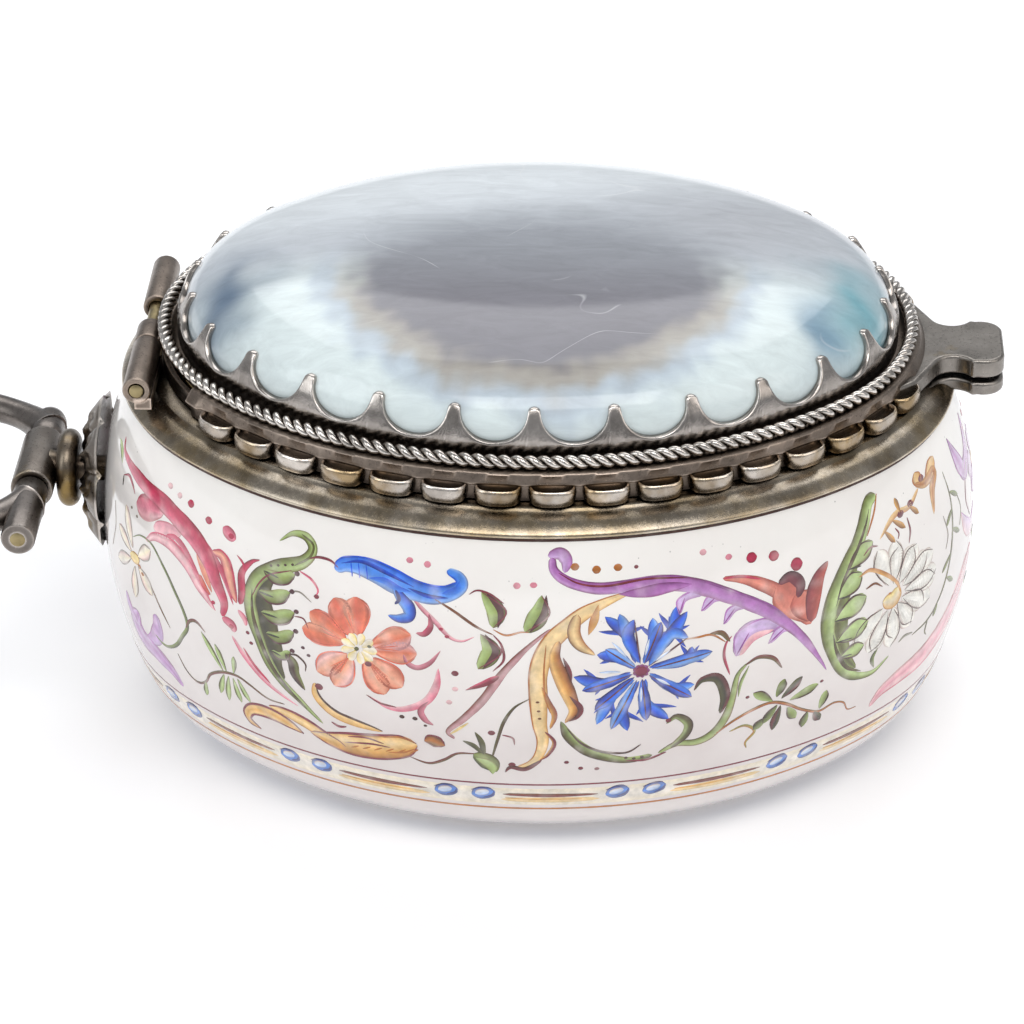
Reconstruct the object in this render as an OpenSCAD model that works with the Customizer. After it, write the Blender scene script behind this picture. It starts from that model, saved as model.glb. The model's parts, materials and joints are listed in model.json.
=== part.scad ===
// Oval pill box: a bellied enamel bowl with a silver collar, a hinged lid that
// carries a domed stone in a claw setting, and a round bow on a stem at one end.
// Units are millimetres, +Z is up, and the origin is the middle of the resting face.
// The oval is drawn with four arcs. A profile point is [offset from the oval, height].

/* [Oval plan] */
// Half length of the rope ring on the lid
plan_a = 21.5; // [21:0.25:22]
// Half width of the rope ring on the lid
plan_b = 17.24; // [17:0.06:17.48]

/* [Bowl] */
// Height of the bowl under its collar
bowl_h = 21; // [20.8:0.1:21.2]
// How far the bowl's belly stands out from the rope ring
belly_off = 4.05; // [3.9:0.05:4.2]
// Height of the widest point
belly_z = 12.4; // [12:0.2:12.8]
// Upright radius of the bowl's side
bowl_side_r = 22.3; // [21.5:0.1:23]
// Radius from the side into the resting face
bowl_foot_r = 6; // [5.5:0.1:6.5]
// Thickness of the enamelled wall
wall = 1.2; // [1:0.1:1.3]

/* [Lid] */
// Height of the rope wire's centre
rope_z = 24.4; // [24.35:0.05:24.5]
// Diameter of the rope wire
rope_d = 0.82; // [0.7:0.02:0.86]
// Height of the stone above the rope wire's centre
dome_h = 5.05; // [4.6:0.05:5.4]
// Number of claws round the stone
claws = 26; // [24:2:28]
// Number of lobes that a full border would have
lobes = 42; // [40:2:44]

/* [Lid hinge] */
// Height of the hinge's axis
hinge_z = 23.35; // [23.3:0.05:23.4]
// Half length of the whole hinge
hinge_half = 7.9; // [7.6:0.1:8.1]
// Outer radius of a knuckle
knuckle_r = 0.8; // [0.74:0.02:0.8]

/* [Bow] */
// Centre-line radius of the bow
bow_r = 7.8; // [7.4:0.1:8.4]
// Diameter of the bow's wire
bow_wire_d = 1.9; // [1.6:0.1:2]
// Height of the bow's axis
bow_z = 14; // [13.6:0.2:14.4]

/* [Thumb tabs] */
// How far the tabs reach along X
tab_end = 26.8; // [26.2:0.1:27.2]
// Half width of the tabs' rounded head
tab_head_half = 2.55; // [2.4:0.05:2.7]

/* [Hidden] */
$fn = 96;

silver = "#8a857c";
gilt = "#b79a5b";
brass = "#b08d45";

// Rounds a length to a micron, so that neighbouring arcs meet exactly.
function micron(x) = round(x * 1000) / 1000;

// The four-arc oval. The arcs' centres stand at the corners of 20-21-29 triangles.
oval_unit = micron((plan_a - plan_b) / 12);
end_c = 21 * oval_unit;
side_c = 20 * oval_unit;
end_r = plan_a - end_c;
side_r = end_r + 29 * oval_unit;
end_half = atan2(20, 21);
end_len = end_r * end_half * PI / 180;
quarter_len = end_len + side_r * (90 - end_half) * PI / 180;
perimeter = 4 * quarter_len;
axis = -100;

// Heights of the collar and the lid's layers.
collar_top = bowl_h + 1.2;
bezel_top = bowl_h + 1.95;
border_bottom = collar_top + 0.1;
plate_bottom = border_bottom + 0.9;
plate_top = rope_z - rope_d / 2 - 0.04;
lining_bottom = plate_bottom - 0.45;
stone_bottom = plate_top + 0.3;

// Offsets of the upright strips from the rope ring.
bezel_in = -0.95;
bezel_out = -0.45;
border_in = 0.45;
lid_off = 1;
collet_in = -1.15;
collet_out = -0.75;
stone_off = -1.2;

// The lid's hinge.
hinge_x = -(plan_a + 0.85);
hinge_pin_r = 0.4;
hinge_bore_r = 0.43;
hinge_cut_x = -(plan_a - 0.3);
hinge_gap_half = 2.5;
lid_knuckle_y = [-2.4, -0.3];
hinge_clear = 0.25;

// The stem and the bow's hinge, measured along X from the middle of the box.
post_r = 0.75;
rosette_r = 4.7;
rosette_h = 1.55;
rosette_x = plan_a + belly_off - 0.1;
collar_x = rosette_x + rosette_h;
collar_len = 1.2;
barrel_r = 1.25;
barrel_half = 2.8;
barrel_x = collar_x + collar_len + barrel_r + 0.05;
bow_pin_r = 0.44;
bow_knuckle_r = 1;
bow_near_y = [-8.7, -2.95];
bow_far_y = [2.95, 6.2];
bow_centre_x = barrel_x + 6.4;
washer_x = plan_a + belly_off - wall - 0.32;
washer_len = 0.4;

// Points of an arc, from angle a0 to angle a1 in n steps.
function arc(centre, r, a0, a1, n) =
    [for (i = [0 : n]) centre + r * [cos(a0 + (a1 - a0) * i / n), sin(a0 + (a1 - a0) * i / n)]];

// Place and outward direction on the oval at the length s from the +X end, as [x, y, angle].
function quarter_at(s) =
    s < end_len
    ? let (a = s / end_r * 180 / PI) [end_c + end_r * cos(a), end_r * sin(a), a]
    : let (a = end_half + (s - end_len) / side_r * 180 / PI)
      [side_r * cos(a), side_r * sin(a) - side_c, a];

function oval_at(s) =
    let (
        q = floor(s / quarter_len) % 4,
        r = s - floor(s / quarter_len) * quarter_len,
        p = quarter_at(q % 2 == 0 ? r : quarter_len - r)
    )
    q == 0 ? p
    : q == 1 ? [-p.x, p.y, 180 - p.z]
    : q == 2 ? [-p.x, -p.y, 180 + p.z]
    : [p.x, -p.y, -p.z];

// A profile's points as they stand on an arc of radius r.
function on_arc(profile, r) = [for (p = profile) [max(0, micron(r + p.x)), micron(p.y)]];

// The part of the plan that an arc covers, a triangle from the arc's centre outwards.
module arc_sector(half_wide, along) {
    linear_extrude(100, center = true)
        polygon([[0, 0], [along, half_wide], [along, -half_wide]]);
}

// Turns a profile about an arc's centre and keeps the sector that faces along +X.
module arc_sweep(profile, r, half_wide, along) {
    intersection() {
        rotate_extrude()
            polygon(on_arc(profile, r));
        arc_sector(half_wide, along);
    }
}

// Sweeps a profile round the oval. An offset of axis closes the profile on each arc's centre.
module oval_sweep(profile) {
    for (side = [0, 1]) {
        mirror([side, 0, 0])
            translate([end_c, 0, 0])
                arc_sweep(profile, end_r, 40, 42);
        mirror([0, side, 0])
            translate([0, -side_c, 0])
                rotate([0, 0, 90])
                    arc_sweep(profile, side_r, 42, 40);
    }
}

// A filled oval with an upright wall at the offset off.
module oval_block(off, z0, z1) {
    oval_sweep([[axis, z0], [off, z0], [off, z1], [axis, z1]]);
}

// A ring of rectangular section round the oval.
module oval_strip(off0, off1, z0, z1) {
    oval_sweep([[off0, z0], [off1, z0], [off1, z1], [off0, z1]]);
}

// A tube or rod along Y, with its axis at x and z.
module rod_y(x, z, r, span) {
    translate([x, span[0], z])
        rotate([-90, 0, 0])
            cylinder(r = r, h = span[1] - span[0]);
}

// Turns a shape drawn upwards so that it points out of the -X end, level with the bow.
module outward(x) {
    translate([-x, 0, bow_z])
        rotate([0, -90, 0])
            children();
}

// The bowl's side from the foot up, moved inwards by inset.
function bowl_side(inset, top) =
    let (
        centre_off = belly_off - bowl_side_r,
        join = -asin((belly_z - bowl_foot_r) / (bowl_side_r - bowl_foot_r)),
        foot = [centre_off + (bowl_side_r - bowl_foot_r) * cos(join), bowl_foot_r],
        rise = asin((top - belly_z) / (bowl_side_r - inset))
    )
    concat(
        arc(foot, bowl_foot_r - inset, -90, join, 6),
        arc([centre_off, belly_z], bowl_side_r - inset, join + (rise - join) / 10, rise, 9)
    );

module enamel_bowl() {
    rim_cut = bowl_h + 0.5;
    color("#ece6e0")
        difference() {
            oval_sweep(concat([[axis, 0]], bowl_side(0, bowl_h), [[axis, bowl_h]]));
            oval_sweep(concat([[axis, wall]], bowl_side(wall, rim_cut), [[axis, rim_cut]]));
            outward(plan_a)
                cylinder(r = post_r, h = 2 * belly_off);
        }
}

// The collar's outside, from its rolled lower edge up to the lid.
collar_side = [
    [2.25, bowl_h],
    [2.5, bowl_h + 0.08],
    [2.6, bowl_h + 0.25],
    [2.45, bowl_h + 0.42],
    [1.95, bowl_h + 0.6],
    [1.4, bowl_h + 0.86],
    [1.05, collar_top]
];

module rim_mount() {
    color(silver)
        oval_sweep(concat([[bezel_out, bowl_h]], collar_side, [[bezel_out, collar_top]]));
}

module inner_bezel() {
    bezel_foot = bowl_h - 2;
    color(gilt)
        oval_strip(bezel_in, bezel_out, bezel_foot, bezel_top);
}

// Plan of a thumb tab: a broad root, a waist and a rounded head.
module tab_plan() {
    waist_x = tab_end - 2.9;
    waist_half = tab_head_half - 0.6;
    waist_r = 1.15;
    corner_r = 1.2;
    root_half = 5.2;
    flank = concat(
        [[plan_a - 1, root_half + 1], [plan_a + 0.1, root_half]],
        arc([waist_x, waist_half + waist_r], waist_r, 205, 335, 8),
        arc([tab_end - corner_r, tab_head_half - corner_r], corner_r, 105, 5, 6)
    );
    polygon(concat(flank, [for (i = [len(flank) - 1 : -1 : 0]) [flank[i].x, -flank[i].y]]));
}

module lower_thumb_tab() {
    thickness = 0.8;
    color(silver)
        difference() {
            translate([0, 0, bowl_h + 0.2])
                linear_extrude(thickness)
                    tab_plan();
            oval_sweep(concat([[axis, bowl_h]], collar_side, [[axis, collar_top]]));
        }
}

// A knuckle of the box, standing on the collar.
module box_knuckle(span) {
    color(silver)
        difference() {
            union() {
                rod_y(hinge_x, hinge_z, knuckle_r, span);
                translate([hinge_x - 0.2, span[0], collar_top])
                    cube([1, span[1] - span[0], hinge_z - collar_top]);
            }
            rod_y(hinge_x, hinge_z, hinge_bore_r, [-2 * hinge_half, 2 * hinge_half]);
        }
}

module hinge_knuckle_near() {
    box_knuckle([-hinge_half, -hinge_gap_half]);
}

module hinge_knuckle_far() {
    box_knuckle([hinge_gap_half, hinge_half]);
}

module hinge_pin() {
    pin_half = hinge_half + 0.08;
    color(brass)
        rod_y(hinge_x, hinge_z, hinge_pin_r, [-pin_half, pin_half]);
}

module rosette() {
    petals = 8;
    shell = 0.45;
    dome_r = (rosette_r * rosette_r + rosette_h * rosette_h) / (2 * rosette_h);
    dome_c = [0, rosette_h - dome_r];
    outer_start = asin(-dome_c.y / dome_r);
    inner_start = asin(-dome_c.y / (dome_r - shell));
    color(silver)
        outward(rosette_x)
            difference() {
                rotate_extrude()
                    polygon(concat(
                        arc(dome_c, dome_r, outer_start, 90, 10),
                        arc(dome_c, dome_r - shell, 90, inner_start, 10)
                    ));
                cylinder(r = post_r, h = 2 * rosette_h);
                for (i = [0 : petals - 1])
                    rotate([0, 0, (i + 0.5) * 360 / petals])
                        translate([rosette_r + 0.15, 0, -rosette_h])
                            cylinder(r = 0.45, h = 3 * rosette_h);
            }
}

module bow_post() {
    neck_r = 1;
    color(silver)
        difference() {
            union() {
                outward(washer_x - washer_len)
                    cylinder(r = post_r, h = barrel_x - washer_x + washer_len);
                outward(collar_x + collar_len)
                    cylinder(r = neck_r, h = barrel_r);
            }
            rod_y(-barrel_x, bow_z, barrel_r, [-barrel_half, barrel_half]);
        }
}

module post_collar() {
    round_r = collar_len / 2;
    collar_r = 2.3;
    color(gilt)
        outward(collar_x)
            rotate_extrude()
                polygon(concat(
                    [[post_r, 0]],
                    arc([collar_r - round_r, round_r], round_r, -90, 90, 10),
                    [[post_r, collar_len]]
                ));
}

module bow_barrel() {
    bore_r = bow_pin_r + 0.03;
    color(silver)
        difference() {
            rod_y(-barrel_x, bow_z, barrel_r, [-barrel_half, barrel_half]);
            rod_y(-barrel_x, bow_z, bore_r, [-2 * barrel_half, 2 * barrel_half]);
        }
}

module post_washer() {
    washer_r = 1.8;
    color(brass)
        outward(washer_x - washer_len)
            difference() {
                cylinder(r = washer_r, h = washer_len);
                cylinder(r = post_r, h = washer_len);
            }
}

module post_rivet() {
    rivet_r = 1.2;
    rivet_h = 0.5;
    color(brass)
        outward(washer_x - washer_len)
            rotate_extrude()
                polygon([[0, 0], [rivet_r, 0], [rivet_r * 0.8, -rivet_h * 0.7], [0, -rivet_h]]);
}

// The space that the lid leaves free round the hinge's knuckles.
module hinge_space() {
    translate([hinge_cut_x - 10, -hinge_half - hinge_clear, border_bottom - 1])
        cube([10, 2 * (hinge_half + hinge_clear), 3]);
}

module lid_plate() {
    seat_in = -3.5;
    color(silver)
        difference() {
            oval_sweep([
                [seat_in, plate_bottom],
                [lid_off, plate_bottom],
                [lid_off, plate_bottom + 0.15],
                [0.5, plate_top],
                [seat_in, plate_top]
            ]);
            hinge_space();
        }
}

// A lobe is left out where the hinge or the thumb tab is in its place.
function lobe_fits(p) = p.x < 0 ? abs(p.y) > hinge_half + 1.2 : abs(p.y) > 5.6;

module scalloped_border() {
    lobe_r = 1.35;
    lobe_off = 0.1;
    spots = [for (i = [0 : lobes - 1]) oval_at(i * perimeter / lobes)];
    color(silver)
        difference() {
            union() {
                oval_strip(border_in, lid_off, border_bottom, plate_bottom);
                for (p = spots)
                    if (lobe_fits(p))
                        translate([p.x + lobe_off * cos(p.z), p.y + lobe_off * sin(p.z), border_bottom])
                            cylinder(r = lobe_r, h = plate_bottom - border_bottom, $fn = 48);
            }
            oval_block(border_in, border_bottom - 1, plate_bottom + 1);
            hinge_space();
        }
}

module rope_wire() {
    steps = 16;
    color("#a8a39b")
        oval_sweep(arc([0, rope_z], rope_d / 2, 0, 360 * (steps - 1) / steps, steps - 1));
}

module claw_collet() {
    claw_tip_w = 0.65;
    scoop_bottom = rope_z + 0.7;
    claw_top = rope_z + 2.5;
    pitch = perimeter / claws;
    scoop_r = (pitch + 2 * PI * collet_out / claws - claw_tip_w) / 2;
    color(silver)
        difference() {
            oval_sweep([
                [collet_in, plate_top],
                [collet_out, plate_top],
                [collet_out, rope_z + 0.9],
                [collet_out - 0.3, rope_z + 1.9],
                [collet_out - 0.75, claw_top],
                [collet_in - 0.7, claw_top - 0.2],
                [collet_in - 0.3, rope_z + 1.8],
                [collet_in, rope_z + 0.9]
            ]);
            for (i = [0 : claws - 1]) {
                p = oval_at((i + 0.5) * pitch + 3 * quarter_len);
                translate([p.x, p.y, scoop_bottom + scoop_r])
                    rotate([0, 90, p.z])
                        translate([0, 0, -3])
                            cylinder(r = scoop_r, h = 4, $fn = 48);
            }
        }
}

// The stone's height at an offset from the rope ring, a rounded-off ellipse.
function stone_z(off) =
    let (
        shoulder = rope_z + 0.5,
        power = 2.2,
        t = max(0, (off + end_r) / (stone_off + end_r))
    )
    shoulder + (dome_h - 0.5) * pow(1 - pow(t, power), 1 / power);

module cabochon() {
    steps = 14;
    flat_off = 2 - end_r;
    sweep = acos(1 - (stone_off - flat_off) / (stone_off + end_r));
    crown = [for (i = [0 : steps])
        let (off = stone_off - (stone_off + end_r) * (1 - cos(i * sweep / steps)))
        [off, stone_z(off)]];
    color("#b9c2c8")
        oval_sweep(concat(
            [[axis, stone_bottom], [stone_off, stone_bottom]],
            crown,
            [[axis, stone_z(flat_off)]]
        ));
}

module stone_bed() {
    color("#5c574f") {
        oval_block(-3.5, plate_bottom, plate_top);
        oval_block(stone_off, plate_top, stone_bottom);
    }
}

module lid_lining() {
    color(gilt)
        oval_block(bezel_in - 0.4, lining_bottom, plate_bottom);
}

module upper_thumb_tab() {
    thickness = 1.15;
    color(silver)
        difference() {
            translate([0, 0, border_bottom])
                linear_extrude(thickness)
                    tab_plan();
            oval_block(lid_off, border_bottom - 1, plate_top + 1);
        }
}

module lid_knuckle() {
    leaf = 0.7;
    color(silver)
        difference() {
            union() {
                rod_y(hinge_x, hinge_z, knuckle_r, lid_knuckle_y);
                translate([hinge_x, lid_knuckle_y[0], plate_bottom])
                    cube([hinge_cut_x - hinge_x, lid_knuckle_y[1] - lid_knuckle_y[0], leaf]);
            }
            rod_y(hinge_x, hinge_z, hinge_bore_r, [-hinge_half, hinge_half]);
        }
}

module bow_ring() {
    meet = atan2(sqrt(bow_r * bow_r - pow(bow_centre_x - barrel_x, 2)), bow_centre_x - barrel_x);
    color(silver)
        difference() {
            translate([-bow_centre_x, 0, bow_z])
                rotate_extrude(angle = 360 - 2 * meet, start = meet)
                    translate([bow_r, 0])
                        circle(bow_wire_d / 2, $fn = 32);
            rod_y(-barrel_x, bow_z, bow_knuckle_r, bow_near_y);
            rod_y(-barrel_x, bow_z, bow_knuckle_r, bow_far_y);
        }
}

module bow_knuckle(span) {
    color(silver)
        difference() {
            rod_y(-barrel_x, bow_z, bow_knuckle_r, span);
            rod_y(-barrel_x, bow_z, bow_pin_r, [bow_near_y[0] - 1, bow_far_y[1] + 1]);
        }
}

module bow_knuckle_near() {
    bow_knuckle(bow_near_y);
}

module bow_knuckle_far() {
    bow_knuckle(bow_far_y);
}

module bow_pin() {
    proud = 0.06;
    color(brass)
        rod_y(-barrel_x, bow_z, bow_pin_r, [bow_near_y[0] - proud, bow_far_y[1] + proud]);
}

enamel_bowl();
rim_mount();
inner_bezel();
lower_thumb_tab();
hinge_knuckle_near();
hinge_knuckle_far();
hinge_pin();
rosette();
bow_post();
post_collar();
bow_barrel();
post_washer();
post_rivet();
lid_plate();
scalloped_border();
rope_wire();
claw_collet();
cabochon();
stone_bed();
lid_lining();
upper_thumb_tab();
lid_knuckle();
bow_ring();
bow_knuckle_near();
bow_knuckle_far();
bow_pin();
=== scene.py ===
"""The looks of the oval pill box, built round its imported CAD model.

Shapes are worked out in millimetres, in the frame's own axes, and turn into metres in new_piece().
The plan is an oval of four arcs. A place on the box is (u, off, z): u runs round the oval from the
middle of the front towards +X, off is the distance outwards from the oval, and z is the height.
"""
import json
import math

import bmesh
import bpy
from mathutils import Matrix, Vector, noise


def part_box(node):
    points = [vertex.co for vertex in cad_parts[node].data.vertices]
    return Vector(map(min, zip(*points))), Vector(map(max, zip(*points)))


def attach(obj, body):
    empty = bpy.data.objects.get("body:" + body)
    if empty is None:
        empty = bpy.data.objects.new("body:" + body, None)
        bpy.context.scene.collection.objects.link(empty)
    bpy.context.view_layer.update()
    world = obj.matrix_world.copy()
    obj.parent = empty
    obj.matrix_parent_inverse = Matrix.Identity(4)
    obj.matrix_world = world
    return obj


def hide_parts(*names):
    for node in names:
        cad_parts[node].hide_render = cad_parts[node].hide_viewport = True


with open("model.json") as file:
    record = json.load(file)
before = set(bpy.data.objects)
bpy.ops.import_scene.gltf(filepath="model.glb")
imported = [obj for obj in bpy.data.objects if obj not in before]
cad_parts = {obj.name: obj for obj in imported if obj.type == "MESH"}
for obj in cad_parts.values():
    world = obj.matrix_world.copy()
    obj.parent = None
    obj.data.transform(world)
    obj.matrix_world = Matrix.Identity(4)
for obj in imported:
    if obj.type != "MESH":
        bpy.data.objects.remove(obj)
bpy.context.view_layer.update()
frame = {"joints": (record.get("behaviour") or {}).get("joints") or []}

MM = 0.001
TAU = 2 * math.pi
SWEEP_STEPS = 288
DISC_STEPS = 192


# ---------------------------------------------------------------------------
# Sizes taken from the frame
# ---------------------------------------------------------------------------

def box_mm(node):
    """A CAD node's lowest and highest corners, in millimetres."""
    low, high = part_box(node)
    return Vector(low) / MM, Vector(high) / MM


def joint_place(name):
    """The place of a joint's axis, in millimetres."""
    found = [j for j in frame["joints"] if j["name"] == name][0]
    return Vector(found["pos_m"]) / MM


ROPE_LOW, ROPE_HIGH = box_mm("rope_wire")
ROPE_D = ROPE_HIGH.z - ROPE_LOW.z
ROPE_Z = (ROPE_HIGH.z + ROPE_LOW.z) / 2
PLAN_A = ROPE_HIGH.x - ROPE_D / 2
PLAN_B = ROPE_HIGH.y - ROPE_D / 2
BOWL_H = box_mm("enamel_bowl")[1].z
BELLY_OFF = box_mm("enamel_bowl")[1].x - PLAN_A
COLLAR_HIGH = box_mm("rim_mount")[1]
PLATE_LOW, PLATE_HIGH = box_mm("lid_plate")
BORDER_LOW, BORDER_HIGH = box_mm("scalloped_border")
STONE_LOW, STONE_HIGH = box_mm("cabochon")
STONE_OFF = STONE_HIGH.x - PLAN_A
BEZEL_LOW, BEZEL_HIGH = box_mm("inner_bezel")
LINING_LOW, LINING_HIGH = box_mm("lid_lining")
TAB_HIGH = box_mm("upper_thumb_tab")[1]
CLAW_TOP = box_mm("claw_collet")[1].z
HINGE = joint_place("lid_hinge")
BOW = joint_place("bow_hinge")

# Sizes that the frame does not hold: the bowl's curves, and how often the small work repeats.
BELLY_Z = 12.4
SIDE_R = 22.3
FOOT_R = 6.0
WALL = 1.2
KNUCKLE_R = 0.8
PIN_BORE = 0.43
BOW_BORE = 0.47
LOBES = 42
CLAWS = 26
CLAW_SHIFT = 0.45
ROPE_TURNS = 84


class Oval:
    """An oval of four arcs, whose centres stand at the corners of 20-21-29 triangles."""

    def __init__(self, a, b):
        unit = (a - b) / 12
        self.end_c = 21 * unit
        self.side_c = 20 * unit
        self.end_r = a - self.end_c
        self.side_r = self.end_r + 29 * unit
        self.end_half = math.atan2(20, 21)
        self.end_len = self.end_r * self.end_half
        self.quarter = self.end_len + self.side_r * (math.pi / 2 - self.end_half)
        self.length = 4 * self.quarter

    def at(self, u):
        """Place (x, y) and outward direction (nx, ny) at the length u."""
        turns, rest = divmod(u + 3 * self.quarter, self.quarter)
        turns = int(turns) % 4
        s = rest if turns % 2 == 0 else self.quarter - rest
        if s < self.end_len:
            angle = s / self.end_r
            x = self.end_c + self.end_r * math.cos(angle)
            y = self.end_r * math.sin(angle)
        else:
            angle = self.end_half + (s - self.end_len) / self.side_r
            x = self.side_r * math.cos(angle)
            y = self.side_r * math.sin(angle) - self.side_c
        sign_x = 1 if turns in (0, 3) else -1
        sign_y = 1 if turns in (0, 1) else -1
        return sign_x * x, sign_y * y, sign_x * math.cos(angle), sign_y * math.sin(angle)

    def stretch(self, u, off):
        """How much longer a step along u is at the offset off."""
        rest = (u + 3 * self.quarter) % self.quarter
        if int((u + 3 * self.quarter) // self.quarter) % 2:
            rest = self.quarter - rest
        radius = self.end_r if rest < self.end_len else self.side_r
        return 1 + off / radius

    def point(self, u, off, z):
        """A place on the box as (x, y, z)."""
        x, y, nx, ny = self.at(u)
        return Vector((x + off * nx, y + off * ny, z))


OVAL = Oval(PLAN_A, PLAN_B)


# ---------------------------------------------------------------------------
# Building meshes
# ---------------------------------------------------------------------------

class Shape:
    """Points, faces and, if wanted, point colours, gathered bit by bit."""

    def __init__(self):
        self.points = []
        self.faces = []
        self.colours = []

    def grid(self, rows, close_rows=False, close_cols=False, colours=None):
        """Adds a sheet of four-sided faces over equal rows of points."""
        start = len(self.points)
        cols = len(rows[0])
        for row in rows:
            self.points.extend(row)
        if colours:
            for row in colours:
                self.colours.extend(row)
        for i in range(len(rows) - (0 if close_rows else 1)):
            for j in range(cols - (0 if close_cols else 1)):
                here = start + i * cols
                there = start + (i + 1) % len(rows) * cols
                beside = (j + 1) % cols
                self.faces.append((here + j, here + beside, there + beside, there + j))

    def moved(self, matrix):
        """Moves every point so far by a matrix."""
        self.points = [matrix @ Vector(p) for p in self.points]
        return self


def new_piece(name, shape, body, material, nodes=(), sharp=50, bevel=0.0):
    """Turns a shape into a smooth-shaded object that rides on a body and replaces CAD nodes."""
    mesh = bpy.data.meshes.new(name)
    mesh.from_pydata([Vector(p) * MM for p in shape.points], [], shape.faces)
    if shape.colours:
        layer = mesh.color_attributes.new("tint", "FLOAT_COLOR", "POINT")
        for place, colour in zip(layer.data, shape.colours):
            place.color = (*colour, 1)
    work = bmesh.new()
    work.from_mesh(mesh)
    bmesh.ops.remove_doubles(work, verts=work.verts, dist=0.0004 * MM)
    bmesh.ops.recalc_face_normals(work, faces=work.faces)
    work.to_mesh(mesh)
    work.free()
    mesh.shade_smooth()
    mesh.set_sharp_from_angle(angle=math.radians(sharp))
    piece = bpy.data.objects.new(name, mesh)
    bpy.context.scene.collection.objects.link(piece)
    mesh.materials.append(material)
    if bevel:
        edge = piece.modifiers.new("soft edges", "BEVEL")
        edge.width = bevel * MM
        edge.segments = 3
        edge.limit_method = "ANGLE"
        edge.angle_limit = math.radians(32)
    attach(piece, body)
    if nodes:
        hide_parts(*nodes)


def softened(outline, radius):
    """A closed outline with each corner rounded over the length radius."""
    steps = 4
    result = []
    count = len(outline)
    for i, corner in enumerate(outline):
        corner = Vector(corner)
        before = Vector(outline[i - 1]) - corner
        after = Vector(outline[(i + 1) % count]) - corner
        start = corner + before.normalized() * min(radius, before.length * 0.48)
        end = corner + after.normalized() * min(radius, after.length * 0.48)
        for k in range(steps + 1):
            t = k / steps
            result.append((1 - t) ** 2 * start + 2 * t * (1 - t) * corner + t ** 2 * end)
    return result


def arc(cx, cy, r, start, end, steps):
    """Points of an arc, with its angles in degrees."""
    angles = [math.radians(start + (end - start) * i / steps) for i in range(steps + 1)]
    return [Vector((cx + r * math.cos(a), cy + r * math.sin(a))) for a in angles]


def smooth_path(points, steps):
    """A Catmull-Rom curve through the points, with steps points to each stretch."""
    points = [Vector(p) for p in points]
    padded = [2 * points[0] - points[1]] + points + [2 * points[-1] - points[-2]]
    result = []
    for a, b, c, d in zip(padded, padded[1:], padded[2:], padded[3:]):
        for k in range(steps):
            t = k / steps
            bend = 2 * a - 5 * b + 4 * c - d
            twist = 3 * b - a - 3 * c + d
            result.append(0.5 * (2 * b + (c - a) * t + bend * t * t + twist * t ** 3))
    result.append(points[-1])
    return result


def round_lengths(steps):
    """Equal steps round the oval, as lengths u."""
    return [OVAL.length * i / steps for i in range(steps)]


def oval_sweep(profile):
    """A solid ring: a closed profile of (off, z) points carried round the oval."""
    shape = Shape()
    rows = [[OVAL.point(u, p[0], p[1]) for p in profile] for u in round_lengths(SWEEP_STEPS)]
    shape.grid(rows, close_rows=True, close_cols=True)
    return shape


def oval_disc(profile):
    """A solid disc: a profile of (off, z) points, closed on the box's own axis at both ends."""
    shape = Shape()
    inner = 4
    first, last = profile[0], profile[-1]
    levels = [(first[0], k / inner, first[1]) for k in range(inner)]
    levels += [(p[0], 1, p[1]) for p in profile]
    levels += [(last[0], k / inner, last[1]) for k in range(inner - 1, -1, -1)]
    rows = []
    for off, scale, z in levels:
        ring = [OVAL.point(u, off, z) for u in round_lengths(DISC_STEPS)]
        rows.append([Vector((p.x * scale, p.y * scale, z)) for p in ring])
    shape.grid(rows, close_cols=True)
    return shape


def turned(profile, steps, closed=True):
    """A profile of (radius, height) points turned about the Z axis."""
    shape = Shape()
    rows = []
    for i in range(steps):
        c, s = math.cos(TAU * i / steps), math.sin(TAU * i / steps)
        rows.append([Vector((p[0] * c, p[0] * s, p[1])) for p in profile])
    shape.grid(rows, close_rows=True, close_cols=closed)
    return shape


def along_y(place):
    """Stands a turned shape's Z axis along +Y, at a place."""
    return Matrix.Translation(place) @ Matrix.Rotation(-math.pi / 2, 4, "X")


def out_of_end(x):
    """Points a turned shape's Z axis out of the box's -X end, level with the bow."""
    return Matrix.Translation((x, 0, BOW.z)) @ Matrix.Rotation(-math.pi / 2, 4, "Y")


def tube(path, radii, sides, closed=False, flat=1.0):
    """A tube along a path, with one radius or a list. flat is the section's height over its width."""
    shape = Shape()
    rows = []
    count = len(path)
    for i, here in enumerate(path):
        before = path[i - 1] if i or closed else here
        after = path[(i + 1) % count] if i < count - 1 or closed else here
        ahead = (after - before).normalized()
        side = ahead.cross(Vector((0, 0, 1))).normalized()
        over = side.cross(ahead)
        r = radii[i] if isinstance(radii, list) else radii
        angles = [TAU * k / sides for k in range(sides)]
        rows.append([here + side * r * math.cos(a) + over * r * flat * math.sin(a) for a in angles])
    if not closed:
        rows = [[path[0]] * sides] + rows + [[path[-1]] * sides]
    shape.grid(rows, close_rows=closed, close_cols=True)
    return shape


def join(*shapes):
    """One shape out of several."""
    result = Shape()
    for shape in shapes:
        start = len(result.points)
        result.points.extend(shape.points)
        result.colours.extend(shape.colours)
        result.faces.extend(tuple(start + i for i in face) for face in shape.faces)
    return result


# ---------------------------------------------------------------------------
# Materials
# ---------------------------------------------------------------------------

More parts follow.
